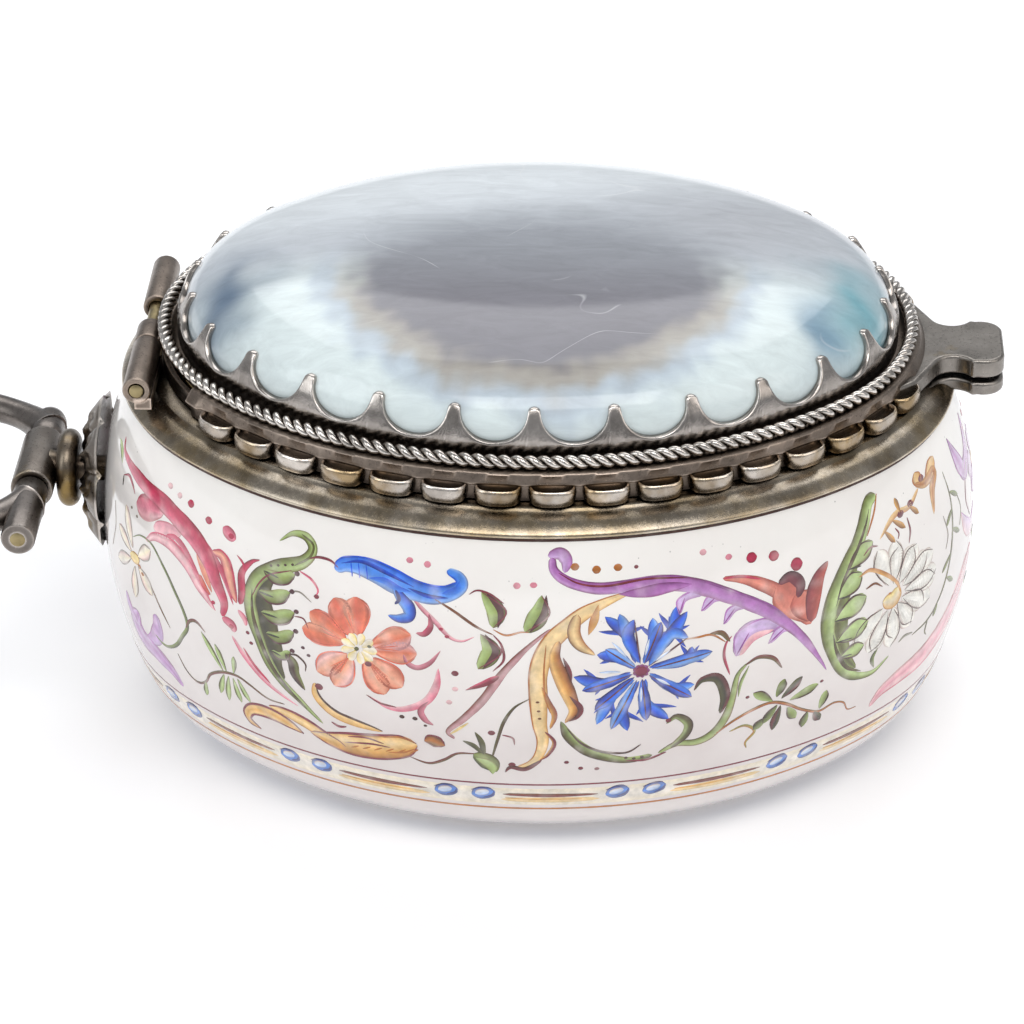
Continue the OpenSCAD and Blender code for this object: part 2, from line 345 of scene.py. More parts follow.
class Net:
    """A material's node tree, with short ways to add the nodes that the materials use."""

    def __init__(self, name, roughness=0.5, metallic=0.0):
        self.material = bpy.data.materials.new(name)
        self.material.use_nodes = True
        self.nodes = self.material.node_tree.nodes
        self.links = self.material.node_tree.links
        self.shader = self.nodes["Principled BSDF"]
        self.shader.inputs["Roughness"].default_value = roughness
        self.shader.inputs["Metallic"].default_value = metallic
        self.where = self.nodes.new("ShaderNodeTexCoord").outputs["Object"]

    def stretched(self, scale):
        """The object's coordinates, scaled along each axis."""
        node = self.nodes.new("ShaderNodeMapping")
        node.inputs["Scale"].default_value = scale
        self.links.new(self.where, node.inputs["Vector"])
        return node.outputs["Vector"]

    def noise(self, scale, detail=3, roughness=0.5, distortion=0.0, where=None):
        """Soft clouds from 0 to 1."""
        node = self.nodes.new("ShaderNodeTexNoise")
        node.inputs["Scale"].default_value = scale
        node.inputs["Detail"].default_value = detail
        node.inputs["Roughness"].default_value = roughness
        node.inputs["Distortion"].default_value = distortion
        self.links.new(where or self.where, node.inputs["Vector"])
        return node.outputs["Fac"]

    def cells(self, scale):
        """0 in the middle of each scattered cell, growing outwards."""
        node = self.nodes.new("ShaderNodeTexVoronoi")
        node.inputs["Scale"].default_value = scale
        self.links.new(self.where, node.inputs["Vector"])
        return node.outputs["Distance"]

    def ramp(self, value, *stops):
        """A colour or grey ramp, with stops of (place, grey or colour)."""
        node = self.nodes.new("ShaderNodeValToRGB")
        ramp = node.color_ramp
        while len(ramp.elements) < len(stops):
            ramp.elements.new(0.5)
        for element, (place, colour) in zip(ramp.elements, stops):
            element.position = place
            if isinstance(colour, (int, float)):
                colour = (colour, colour, colour)
            element.color = (*colour, 1)
        self.links.new(value, node.inputs["Fac"])
        return node.outputs["Color"]

    def math(self, operation, a, b):
        """One sum on two values, each a number or another node's output."""
        node = self.nodes.new("ShaderNodeMath")
        node.operation = operation
        for socket, value in zip(node.inputs, (a, b)):
            if isinstance(value, (int, float)):
                socket.default_value = value
            else:
                self.links.new(value, socket)
        return node.outputs["Value"]

    def mix(self, factor, a, b, blend="MIX"):
        """One colour blended over another."""
        node = self.nodes.new("ShaderNodeMix")
        node.data_type = "RGBA"
        node.blend_type = blend
        for socket, value in ((node.inputs["Factor"], factor), (node.inputs[6], a), (node.inputs[7], b)):
            if isinstance(value, (int, float)):
                socket.default_value = value
            elif isinstance(value, tuple):
                socket.default_value = (*value, 1)
            else:
                self.links.new(value, socket)
        return node.outputs[2]

    def openness(self, distance, inside=False):
        """1 on open surfaces and 0 in hollows, or on edges when looked at from the inside."""
        node = self.nodes.new("ShaderNodeAmbientOcclusion")
        node.samples = 8
        node.inside = inside
        node.only_local = inside
        node.inputs["Distance"].default_value = distance * MM
        return node.outputs["AO"]

    def height(self):
        """The height above the resting face, in metres."""
        node = self.nodes.new("ShaderNodeSeparateXYZ")
        self.links.new(self.where, node.inputs["Vector"])
        return node.outputs["Z"]

    def attribute(self, name):
        """A colour that each point of the mesh carries."""
        node = self.nodes.new("ShaderNodeAttribute")
        node.attribute_name = name
        return node.outputs["Color"]

    def colour(self, value):
        """Sets the surface's colour."""
        self.links.new(value, self.shader.inputs["Base Color"])

    def rough(self, value):
        """Sets the surface's roughness."""
        self.links.new(value, self.shader.inputs["Roughness"])

    def bump(self, value, depth, strength=1.0):
        """Raises the surface by up to depth millimetres."""
        node = self.nodes.new("ShaderNodeBump")
        node.inputs["Strength"].default_value = strength
        node.inputs["Distance"].default_value = depth * MM
        self.links.new(value, node.inputs["Height"])
        self.links.new(node.outputs["Normal"], self.shader.inputs["Normal"])


def silver(name, dark, bright, gold=None, gold_share=0.5, hollow=0.8, shine=(0.22, 0.45), highlight_shade_heights=None,
           body=0.5):
    """Old silver: dark in its hollows, partly from tarnish and partly as painted shade, bright where
    it is rubbed, and golden in patches.

    body is how bright a plain face is beside a rubbed edge. The optional pair of heights, in
    millimetres, sets a painted highlight below the first and painted shade above the second.
    """
    net = Net(name, metallic=1.0)
    patches = net.noise(420, detail=5, roughness=0.62)
    grain = net.noise(5200, detail=3, roughness=0.7)
    tone = net.ramp(patches, (0.3, 0.25), (0.72, 0.9))
    # Darker in hollows, gaps and under overhangs: partly tarnish, partly painted shade.
    open_part = net.ramp(net.openness(hollow), (0.25, 0.0), (0.95, 1.0))
    rubbed = net.ramp(net.openness(0.16, inside=True), (0.45, 1.0), (0.95, 0.0))
    light = net.math("MULTIPLY", net.math("ADD", net.math("MULTIPLY", tone, body), rubbed), open_part)
    # Painted light by height: a painted highlight below the first height, painted shade above the second.
    if highlight_shade_heights:
        light = net.math("MULTIPLY", light, net.ramp(net.height(), (highlight_shade_heights[0] * MM, 2.2),
                                                     (highlight_shade_heights[1] * MM, 0.15)))
    surface = net.mix(light, dark, bright)
    if gold:
        spots = net.ramp(net.noise(310, detail=4, roughness=0.6), (1 - gold_share - 0.1, 0.0),
                         (1.0 - gold_share + 0.12, 1.0))
        surface = net.mix(spots, surface, net.mix(light, tuple(c * 0.15 for c in gold), gold))
    net.colour(surface)
    net.rough(net.ramp(grain, (0.25, shine[0]), (0.8, shine[1])))
    scratches = net.noise(2600, detail=6, roughness=0.75)
    net.bump(scratches, 0.02, 0.5)
    return net.material


def enamel():
    """Glossy warm white enamel, faintly clouded, with painted shade low and painted sheen high, and tiny dark
    pits close to the collar.
    """
    net = Net("white enamel", roughness=0.09)
    clouds = net.noise(160, detail=4, roughness=0.6)
    # Painted light: darker towards the foot as painted shade, paler towards the collar as painted sheen.
    shaded_low_ground = net.ramp(clouds, (0.3, (0.69, 0.62, 0.60)), (0.7, (0.78, 0.725, 0.70)))
    lit_high_ground = net.ramp(clouds, (0.3, (0.84, 0.795, 0.755)), (0.7, (0.88, 0.85, 0.81)))
    ground = net.mix(net.ramp(net.height(), (0.008, 0.0), (0.0195, 1.0)), shaded_low_ground, lit_high_ground)
    near_rim = net.ramp(net.height(), (0.0, 0.0), (0.0155, 0.0), (0.0205, 1.0))
    specks = net.ramp(net.cells(2300), (0.07, 1.0), (0.13, 0.0))
    scattered = net.ramp(net.noise(700, detail=2), (0.58, 0.0), (0.66, 1.0))
    pits = net.math("MULTIPLY", net.math("MULTIPLY", specks, scattered), near_rim)
    net.colour(net.mix(pits, ground, (0.09, 0.08, 0.08)))
    net.shader.inputs["Coat Weight"].default_value = 0.6
    net.shader.inputs["Coat Roughness"].default_value = 0.04
    net.bump(net.noise(240, detail=2), 0.05, 0.35)
    return net.material


def paint():
    """Translucent enamel colours, fired into the white ground. Each point has its own tint."""
    net = Net("enamel colours", roughness=0.14)
    wash = net.ramp(net.noise(1500, detail=4, roughness=0.65), (0.3, 0.76), (0.72, 1.16))
    net.colour(net.mix(1.0, net.attribute("tint"), wash, blend="MULTIPLY"))
    net.shader.inputs["Coat Weight"].default_value = 0.6
    net.shader.inputs["Coat Roughness"].default_value = 0.04
    net.bump(net.noise(2400, detail=3), 0.015, 0.3)
    return net.material


def pearl():
    """The lid's stone: clouded and fibrous under a clear polish, with a few fine scratches."""
    net = Net("polished stone", roughness=0.1)
    fibres = net.noise(900, detail=6, roughness=0.7, distortion=0.8, where=net.stretched((0.35, 1.1, 1.0)))
    cast = net.ramp(fibres, (0.3, 0.88), (0.7, 1.08))
    clouded = net.mix(1.0, net.attribute("tint"), cast, blend="MULTIPLY")
    hairlines = net.ramp(net.noise(128, detail=1, distortion=0.4), (0.4965, 0.0), (0.5, 1.0), (0.5035, 0.0))
    scarce = net.ramp(net.noise(120, detail=2, where=net.stretched((1.3, 0.9, 1.0))), (0.57, 0.0),
                      (0.62, 0.4))
    net.colour(net.mix(net.math("MULTIPLY", hairlines, scarce), clouded, (0.80, 0.81, 0.82)))
    net.shader.inputs["Specular IOR Level"].default_value = 0.42
    net.bump(fibres, 0.02, 0.15)
    return net.material


def polished(name, dark, bright, roughness, metallic=1.0):
    """A plain finish with soft patches of wear."""
    scale = 600
    net = Net(name, metallic=metallic)
    patches = net.noise(scale, detail=5, roughness=0.6)
    net.colour(net.ramp(patches, (0.3, dark), (0.72, bright)))
    net.rough(net.ramp(net.noise(scale * 4, detail=3), (0.3, roughness * 0.7), (0.7, roughness * 1.4)))
    net.bump(net.noise(scale * 5, detail=4, roughness=0.7), 0.015, 0.5)
    return net.material


def floor_paper():
    """Pale paper for the floor, glowing faintly as painted light that lightens the shadows on it."""
    net = Net("pale paper", roughness=0.85)
    net.colour(net.ramp(net.noise(30, detail=3), (0.3, (0.90, 0.90, 0.905)), (0.7, (0.92, 0.92, 0.925))))
    net.shader.inputs["Specular IOR Level"].default_value = 0.1
    # A faint glow from the paper itself: painted light that lightens the floor's shadows and the box's
    # underside.
    net.shader.inputs["Emission Color"].default_value = (0.97, 0.98, 1.0, 1)
    net.shader.inputs["Emission Strength"].default_value = 0.16
    return net.material


SILVER_DARK = (0.085, 0.066, 0.052)
SILVER_MID = (0.62, 0.505, 0.42)
GOLD = (0.62, 0.43, 0.16)

OXIDISED = silver("oxidised silver", SILVER_DARK, SILVER_MID)
LOBE_SILVER = silver(
    "rubbed silver", SILVER_DARK, (1.0, 0.92, 0.84), gold=(0.58, 0.42, 0.24), gold_share=0.5, hollow=1.0,
    shine=(0.14, 0.34), body=0.8,
)
CLAW_SILVER = silver(
    "claw silver", (0.08, 0.064, 0.052), (1.0, 0.93, 0.87), hollow=1.1, shine=(0.1, 0.28),
    body=0.6,
)
ROPE_SILVER = silver("bright wire", (0.10, 0.083, 0.068), (1.0, 0.94, 0.88), hollow=0.3, shine=(0.08, 0.2),
                     body=0.8)
# The collar: a painted highlight along its rolled lower edge and painted shade over its upper face, under the
# lobes.
COLLAR_SILVER = silver(
    "warm collar silver", (0.045, 0.033, 0.025), (0.90, 0.79, 0.64), gold=(0.62, 0.48, 0.30), hollow=0.5,
    shine=(0.14, 0.34), highlight_shade_heights=(BOWL_H + 0.58, BOWL_H + 0.82),
)
STEM_SILVER = silver("stem silver", SILVER_DARK, (0.54, 0.49, 0.44), gold=GOLD, gold_share=0.3)
BEAD_GILT = silver("worn gilding", (0.08, 0.06, 0.045), (0.42, 0.36, 0.28), gold=(0.66, 0.44, 0.14),
                   gold_share=0.45)
BOW_SILVER = silver("bow silver", (0.06, 0.05, 0.045), (0.50, 0.45, 0.41))
TAB_SILVER = silver("tab silver", (0.10, 0.09, 0.08), (0.60, 0.55, 0.50), gold=GOLD, gold_share=0.25)
PIN_BRASS = polished("pin brass", (0.23, 0.18, 0.09), (0.52, 0.43, 0.24), roughness=0.35)
GILT = polished("gilt lining", (0.55, 0.38, 0.16), (0.80, 0.60, 0.30), roughness=0.22)
CEMENT = polished("stone cement", (0.05, 0.045, 0.04), (0.12, 0.105, 0.09), metallic=0.0, roughness=0.8)
ENAMEL = enamel()
PAINT = paint()
PEARL = pearl()


# ---------------------------------------------------------------------------
# The box
# ---------------------------------------------------------------------------

SIDE_C = BELLY_OFF - SIDE_R
FOOT_JOIN = -math.asin((BELLY_Z - FOOT_R) / (SIDE_R - FOOT_R))
FOOT_C = SIDE_C + (SIDE_R - FOOT_R) * math.cos(FOOT_JOIN)
JOIN_Z = BELLY_Z + SIDE_R * math.sin(FOOT_JOIN)


def bowl_side(inset):
    """The bowl's side as (off, z) points, from the resting face up, moved inwards by inset."""
    join_angle = math.degrees(FOOT_JOIN)
    rise = math.degrees(math.asin((BOWL_H - BELLY_Z) / (SIDE_R - inset)))
    foot = arc(FOOT_C, FOOT_R, FOOT_R - inset, -90, join_angle, 12)
    side = arc(SIDE_C, BELLY_Z, SIDE_R - inset, join_angle, rise, 40)
    return foot[:-1] + side


def on_bowl(u, z, lift):
    """A place on the bowl's painted side, lifted off the enamel by lift."""
    if z < JOIN_Z:
        centre, radius, middle = FOOT_C, FOOT_R, FOOT_R
    else:
        centre, radius, middle = SIDE_C, SIDE_R, BELLY_Z
    rise = (z - middle) / radius
    level = math.sqrt(max(0.0, 1 - rise * rise))
    return OVAL.point(u, centre + (radius + lift) * level, middle + (radius + lift) * rise)


def enamel_bowl():
    """The bowl, whose resting face is a ring round a shallow hollow."""
    outside = bowl_side(0)
    inside = bowl_side(WALL)
    hollow = 0.35
    foot_ring = [(FOOT_C - 2.2, hollow), (FOOT_C - 1.1, hollow * 0.8), (FOOT_C - 0.6, 0.03)]
    profile = foot_ring + outside + inside[::-1]
    new_piece("enamel_bowl_fired", oval_disc(profile), "box", ENAMEL, ["enamel_bowl"])


def rim_mount():
    """The collar: from its rolled lower edge the face slopes up and inwards."""
    low, high = BOWL_H, COLLAR_HIGH.z
    face = [
        (2.3, low - 0.02), (2.5, low + 0.04), (2.59, low + 0.14), (2.55, low + 0.27), (2.38, low + 0.43),
        (2.15, low + 0.6), (1.9, low + 0.74), (1.6, low + 0.86), (1.3, low + 0.98), (1.05, high),
    ]
    side = [(p.x, p.y) for p in smooth_path(face, 3)]
    new_piece(
        "rim_mount_rolled", oval_sweep([(-0.45, low)] + side + [(-0.45, high)]), "box",
        COLLAR_SILVER, ["rim_mount"],
    )


def inner_bezel():
    """The upright gilt strip that the lid closes round."""
    thickness = 0.5
    outer = BEZEL_HIGH.x - PLAN_A
    inner = outer - thickness
    low, high = BEZEL_LOW.z, BEZEL_HIGH.z
    strip = softened([(inner, low), (outer, low), (outer, high), (inner, high)], 0.2)
    new_piece("inner_bezel_gilt", oval_sweep(strip), "box", GILT, ["inner_bezel"])


def tab_outline():
    """Plan of a thumb tab: a broad root, a waist and a rounded head."""
    end = TAB_HIGH.x
    head_half = 2.55
    corner_r = 1.2
    waist = arc(end - 2.9, head_half + 0.55, 1.15, 205, 335, 14)
    head = arc(end - corner_r, head_half - corner_r, corner_r, 105, 5, 12)
    flank = [Vector((PLAN_A - 1, 6.2)), Vector((PLAN_A + 0.1, 5.2))] + waist + head
    return flank + [Vector((p.x, -p.y)) for p in reversed(flank)]


def prism(outline, low, high):
    """An upright solid over a plan outline."""
    shape = Shape()
    count = len(outline)
    shape.points = [Vector((p.x, p.y, low)) for p in outline] + [Vector((p.x, p.y, high)) for p in outline]
    shape.faces = [tuple(range(count - 1, -1, -1)), tuple(range(count, 2 * count))]
    shape.faces += [(i, (i + 1) % count, count + (i + 1) % count, count + i) for i in range(count)]
    return shape


def thumb_tabs():
    """The box's tab and the lid's tab over it, with their edges filed round."""
    for name, body, bevel in (("lower_thumb_tab", "box", 0.2), ("upper_thumb_tab", "lid", 0.25)):
        low, high = box_mm(name)
        tab = prism(tab_outline(), low.z, high.z)
        new_piece(name + "_filed", tab, body, TAB_SILVER, [name], sharp=35, bevel=bevel)


# ---------------------------------------------------------------------------
# The painted decoration
# ---------------------------------------------------------------------------

def blend(a, b, t):
    """A colour between a and b."""
    t = min(1.0, max(0.0, t))
    return tuple(p + (q - p) * t for p, q in zip(a, b))


def ink(code):
    """A colour from its hex code, in linear light."""
    parts = [int(code[i:i + 2], 16) / 255 for i in (0, 2, 4)]
    return tuple(p / 12.92 if p <= 0.04045 else ((p + 0.055) / 1.055) ** 2.4 for p in parts)


WHITE = ink("ece6df")
CREAM = ink("efe0c0")
CREAM_WARM = ink("e6c894")
YELLOW = ink("e9cf6c")
OCHRE = ink("dca552")
OCHRE_PALE = ink("f0cf95")
SIENNA = ink("b06a2c")
BROWN = ink("74401f")
UMBER = ink("4a2c22")
MAROON = ink("7a2b38")
DEEP_MAROON = ink("521c2a")
CRIMSON = ink("b92a4d")
ROSE = ink("cf5470")
PINK = ink("e08c9c")
PALE_PINK = ink("ecc0c2")
TERRACOTTA = ink("d96850")
BRICK = ink("bd5a4c")
BRICK_PALE = ink("d88470")
CORAL = ink("dd7452")
CORAL_PALE = ink("eeac8e")
OLIVE = ink("5c5a30")
DARK_OLIVE = ink("3a3626")
GREEN = ink("87964f")
GREEN_PALE = ink("b3c884")
COBALT = ink("2254d2")
BLUE = ink("4b8ae6")
SKY = ink("9cc0ef")
NAVY = ink("23256e")
SLATE = ink("5b6a9c")
VIOLET = ink("8f4690")
ORCHID = ink("b071b4")
LILAC = ink("cdb0da")
GREY = ink("8d8478")
SHADE_BLUE = ink("8f93ad")


class Painting(Shape):
    """Thin strokes of enamel colour on the bowl. Their edges sink into the white ground.

    A place is (u, z), measured from the painting's own origin round the bowl.
    """

    def __init__(self, origin):
        super().__init__()
        self.origin = origin

    def level(self, layer, v):
        """How far a stroke stands off the ground at v across it, from -1 to 1."""
        return -0.02 if abs(v) == 1 else 0.006 + 0.004 * layer

    def brush(self, route, width, inks, swell=0.5, ends=(0.0, 0.0), layer=1, rims=None, streaks=0.13):
        """A stroke along a route, swelling to its width and coloured from its left to its right.

        ends gives the width at each end against the full width. rims is an ink, a thickness and
        the sides, "l", "r" or "lr", that are drawn round with it.
        """
        path = smooth_path(route, 7 if len(route) > 2 else 12)
        gaps = [(b - a).length for a, b in zip(path, path[1:])]
        total = sum(gaps)
        half_count = max(2, round(width / 0.4) + 1)
        steps = [math.sin(math.pi / 2 * k / half_count) for k in range(-half_count, half_count + 1)]
        rows, tints, left, right = [], [], [], []
        gone = 0.0
        for i, here in enumerate(path):
            t = gone / total
            if i < len(gaps):
                gone += gaps[i]
            ahead = path[min(i + 1, len(path) - 1)] - path[max(i - 1, 0)]
            u, z = here
            wide = OVAL.stretch(self.origin + u, side_off(z))
            across = Vector((-ahead.y, ahead.x * wide)).normalized()
            across.x /= wide
            wobble = 1 + 0.12 * noise.noise(Vector((u * 0.9, z * 0.9, layer)))
            reach = self.half_width(t, total, width, wobble, swell, ends)
            row, tint_row = [], []
            for v in steps:
                place = here - across * reach * v
                row.append(on_bowl(self.origin + place.x, place.y, self.level(layer, v)))
                tint_row.append(self.mixed(inks, v, gone, place, streaks))
            rows.append(row)
            tints.append(tint_row)
            left.append(here + across * reach * 0.94)
            right.append(here - across * reach * 0.94)
        self.grid(rows, colours=tints)
        if rims:
            colour, thickness, sides = rims
            for name, edge in (("l", left), ("r", right)):
                if name in sides:
                    self.line(edge[::5] + edge[-1:], thickness, colour, layer + 1)

    def half_width(self, t, total, width, wobble, swell, ends):
        """Half the width of a stroke at t along it, from 0 to 1, with round tips."""
        side = t / swell if t < swell else (1 - t) / (1 - swell)
        end = ends[0] if t < swell else ends[1]
        reach = width / 2 * wobble * (end + (1 - end) * math.sin(math.pi / 2 * side) ** 0.8)
        to_end = min(t, 1 - t) * total
        tip = end * width / 2
        if to_end < tip:
            reach *= math.sqrt(max(0.04, 1 - (1 - to_end / tip) ** 2))
        return max(reach, 0.012)

    def mixed(self, inks, v, gone, place, streaks):
        """The colour at v across a stroke: its inks in turn, with the marks of the brush."""
        spot = (v + 1) / 2 * (len(inks) - 1)
        k = min(int(spot), len(inks) - 2) if len(inks) > 1 else 0
        colour = blend(inks[k], inks[min(k + 1, len(inks) - 1)], spot - k)
        mark = noise.noise(Vector((gone * 0.7, v * 2.6, place.x * 0.35))) * streaks * 2
        mark += noise.noise(Vector((gone * 3.1, v * 5.0, place.y))) * streaks
        thin = noise.noise(Vector((place.x * 1.3, place.y * 1.3, 7.0))) * streaks * 3
        colour = blend(colour, WHITE, thin)
        if abs(v) > 0.8 and streaks > 0.1:
            edge = tuple(c * share for c, share in zip(colour, (0.5, 0.34, 0.34)))
            colour = blend(colour, edge, 0.65 + 0.9 * noise.noise(Vector((gone * 0.8, v, 3.0))))
        return tuple(max(0.0, c * (1 + mark)) for c in colour)

    def line(self, route, width, colour, layer=3, ends=(0.3, 0.3)):
        """A thin line of one colour."""
        self.brush(route, width, (colour,), ends=ends, layer=layer, streaks=0.2)

    def dot(self, u, z, radius, colour, layer=2):
        """A round touch of the brush, a little darker below."""
        route = [(u - radius * 0.9, z), (u, z), (u + radius * 0.9, z)]
        darker = tuple(c * 0.72 for c in colour)
        self.brush(route, radius * 2, (colour, darker), ends=(0.5, 0.5), layer=layer)

    def dots(self, places, radius, colour):
        """Equal dots at several places."""
        for u, z in places:
            self.dot(u, z, radius, colour)

    def petal(self, root, tip, width, inks, layer=2, swell=0.66, rims=None, blunt=0.55):
        """A broad round-ended stroke from a flower's heart to its tip."""
        middle = ((root[0] + tip[0]) / 2, (root[1] + tip[1]) / 2)
        self.brush([root, middle, tip], width, inks, swell=swell, ends=(0.15, blunt), layer=layer, rims=rims)

    def heart_petal(self, heart, tip, width, inks, layer=2, rim=None):
        """A petal with a notch in its end: two strokes side by side."""
        reach = Vector(tip) - Vector(heart)
        aside = Vector((-reach.y, reach.x)) * 0.19
        for side, edge in ((-1, "r"), (1, "l")):
            root = Vector(heart) + reach * 0.25 + aside * side * 0.35
            rims = (rim, 0.11, edge) if rim else None
            self.petal(root, Vector(tip) + aside * side, width * 0.64, inks[::side], layer, rims=rims)

    def band(self, low, high, inks, layer=0):
        """A band of colour all round the bowl."""
        rows, tints = [], []
        steps = 5
        lengths = round_lengths(SWEEP_STEPS)
        for k in range(steps + 1):
            v = 2 * k / steps - 1
            z = low + (high - low) * k / steps
            rows.append([on_bowl(u, z, self.level(layer, v)) for u in lengths])
            tints.append([self.mixed(inks, v, u, Vector((u, z)), 0.05) for u in lengths])
        self.grid(rows, close_cols=True, colours=tints)

    def ring(self, z, width, colour, layer):
        """A hand-drawn line all round the bowl."""
        self.band(z - width / 2, z + width / 2, (colour,), layer)


def side_off(z):
    """The offset of the bowl's outside at a height."""
    if z < JOIN_Z:
        return FOOT_C + math.sqrt(max(0.0, FOOT_R ** 2 - (z - FOOT_R) ** 2))
    return SIDE_C + math.sqrt(SIDE_R ** 2 - (z - BELLY_Z) ** 2)


def painted_border():
    """A cream band between two lines, with pairs of blue ovals and brown bars in turn, a blue-grey band of
    painted shade low down, and a dark line of painted shadow under the collar.
    """
    p = Painting(0.0)
    # A blue-grey band low on the bowl: painted shade.
    p.band(0.35, 1.5, (SHADE_BLUE, WHITE))
    p.band(3.45, 5.45, (CREAM, WHITE, CREAM))
    p.ring(5.5, 0.17, MAROON, 1)
    p.ring(3.4, 0.2, SIENNA, 1)
    # A dark line just below the collar: painted contact shadow.
    p.ring(BOWL_H - 0.12, 0.2, UMBER, 1)
    repeats = 14
    step = OVAL.length / repeats
    for i in range(repeats):
        middle = -3.0 + i * step
        for u in (middle - 0.95, middle + 0.95):
            p.brush([(u - 0.6, 4.5), (u, 4.68), (u + 0.6, 4.82)], 1.1, (SLATE, BLUE, SLATE),
                    ends=(0.6, 0.6), layer=2)
            p.brush([(u - 0.42, 4.6), (u - 0.05, 4.74), (u + 0.3, 4.86)], 0.62, (WHITE, SKY),
                    ends=(0.5, 0.5), layer=4)
            p.brush([(u, 4.3), (u + 0.45, 4.5), (u + 0.55, 4.9)], 0.24, (NAVY, SLATE), layer=5)
            p.line([(u - 0.6, 4.9), (u - 0.2, 5.1), (u + 0.4, 5.12)], 0.1, NAVY, 5)
        bar = middle + step / 2
        p.brush([(bar - 2.5, 4.2), (bar, 4.2), (bar + 2.5, 4.2)], 0.6, (OCHRE_PALE, CREAM_WARM),
                ends=(0.4, 0.4), layer=2)
        p.brush([(bar - 2.4, 4.66), (bar, 4.6), (bar + 2.4, 4.62)], 0.36, (BROWN, MAROON), ends=(0.6, 0.25),
                layer=4)
        p.line([(bar - 2.3, 4.35), (bar - 1.0, 4.3), (bar + 1.6, 4.3)], 0.14, OCHRE, 5)
    return p


def crimson_leaf(p):
    """A crimson acanthus leaf that sweeps down from the left end."""
    top = [
        (-25.3, 19.4), (-24.8, 18.7), (-22.6, 18.3), (-20.6, 18.1), (-19.2, 17.7), (-17.9, 17.2),
        (-16.9, 16.4), (-16.2, 15.3), (-15.6, 14.2), (-15.7, 13.3),
    ]
    p.petal((-20.3, 17.5), (-22.6, 16.9), 1.5, (PALE_PINK, PINK, ROSE), layer=1)
    p.petal((-18.8, 17.0), (-20.9, 16.4), 1.1, (PALE_PINK, PINK), layer=1)
    p.brush([(-21.4, 15.3), (-20.7, 15.9), (-19.5, 16.0), (-18.2, 15.4), (-17.2, 14.4), (-16.2, 13.5)],
            0.85, (ROSE, PALE_PINK, PINK), ends=(0.3, 0.2), layer=1, rims=(ROSE, 0.12, "l"))
    p.brush([(-19.9, 16.4), (-19.2, 16.6), (-18.3, 16.1), (-17.3, 14.9), (-16.6, 14.2)],
            0.5, (CRIMSON, PINK), ends=(0.6, 0.2), layer=2)
    p.brush(top, 1.25, (CRIMSON, CRIMSON, ROSE, PINK), swell=0.62, ends=(0.05, 0.25), layer=3)
    p.brush([(-17.6, 16.3), (-17.0, 15.5), (-16.4, 14.5)], 0.55, (CORAL_PALE, TERRACOTTA), layer=5)
    p.brush([(-17.3, 15.2), (-16.9, 14.6), (-16.5, 14.3)], 0.42, (TERRACOTTA, CRIMSON), ends=(0.6, 0.2),
            layer=6)
    p.dot(-16.3, 13.9, 0.14, CRIMSON, 6)
    p.brush([(-18.7, 17.9), (-18.2, 17.7), (-17.1, 17.1), (-16.2, 16.4), (-15.6, 15.6), (-15.0, 14.3)],
            0.5, (CRIMSON, ROSE), ends=(0.6, 0.1), layer=2)
    p.brush([(-16.6, 16.9), (-15.9, 16.9), (-15.5, 16.3), (-15.2, 15.4), (-14.8, 14.5)],
            0.75, (CRIMSON, CORAL_PALE, ROSE), ends=(0.35, 0.2), layer=1, rims=(CRIMSON, 0.14, "lr"))
    p.brush([(-13.6, 17.5), (-14.1, 17.2), (-14.6, 16.4), (-14.5, 15.3), (-14.6, 14.5)],
            0.62, (ROSE, CRIMSON, MAROON), swell=0.75, ends=(0.1, 0.5), layer=2)
    p.brush([(-15.0, 17.3), (-14.6, 17.0), (-14.4, 16.6)], 0.2, (CRIMSON,), layer=3)
    p.dots([(-18.5, 18.9), (-17.1, 18.5)], 0.26, CRIMSON)
    p.brush([(-16.1, 18.5), (-15.7, 18.3), (-15.2, 18.1)], 0.8, (ROSE, PINK), ends=(0.6, 0.4), layer=2)
    p.dot(-15.5, 18.2, 0.2, CRIMSON, 4)
    p.dots([(-20.2, 19.2), (-19.4, 19.0)], 0.2, PALE_PINK)
    p.brush([(-15.7, 13.2), (-15.1, 13.0), (-14.9, 12.6)], 0.62, (ROSE, PINK), ends=(0.5, 0.5), layer=2)
    p.dot(-15.1, 12.9, 0.17, CRIMSON, 4)
    p.brush([(-14.7, 14.1), (-14.3, 13.7), (-14.2, 13.3)], 0.45, (ROSE, PALE_PINK), ends=(0.4, 0.4), layer=2)
    p.dots([(-14.1, 12.9), (-13.9, 12.3)], 0.13, MAROON)
    p.brush([(-15.1, 12.3), (-14.4, 11.3), (-13.4, 10.2), (-12.4, 9.5), (-11.4, 9.0)],
            0.45, (PALE_PINK, PINK, ROSE), swell=0.3, ends=(0.4, 0.1), layer=1)
    p.line([(-14.4, 11.8), (-13.8, 10.9), (-12.9, 10.0)], 0.22, CRIMSON, 3)


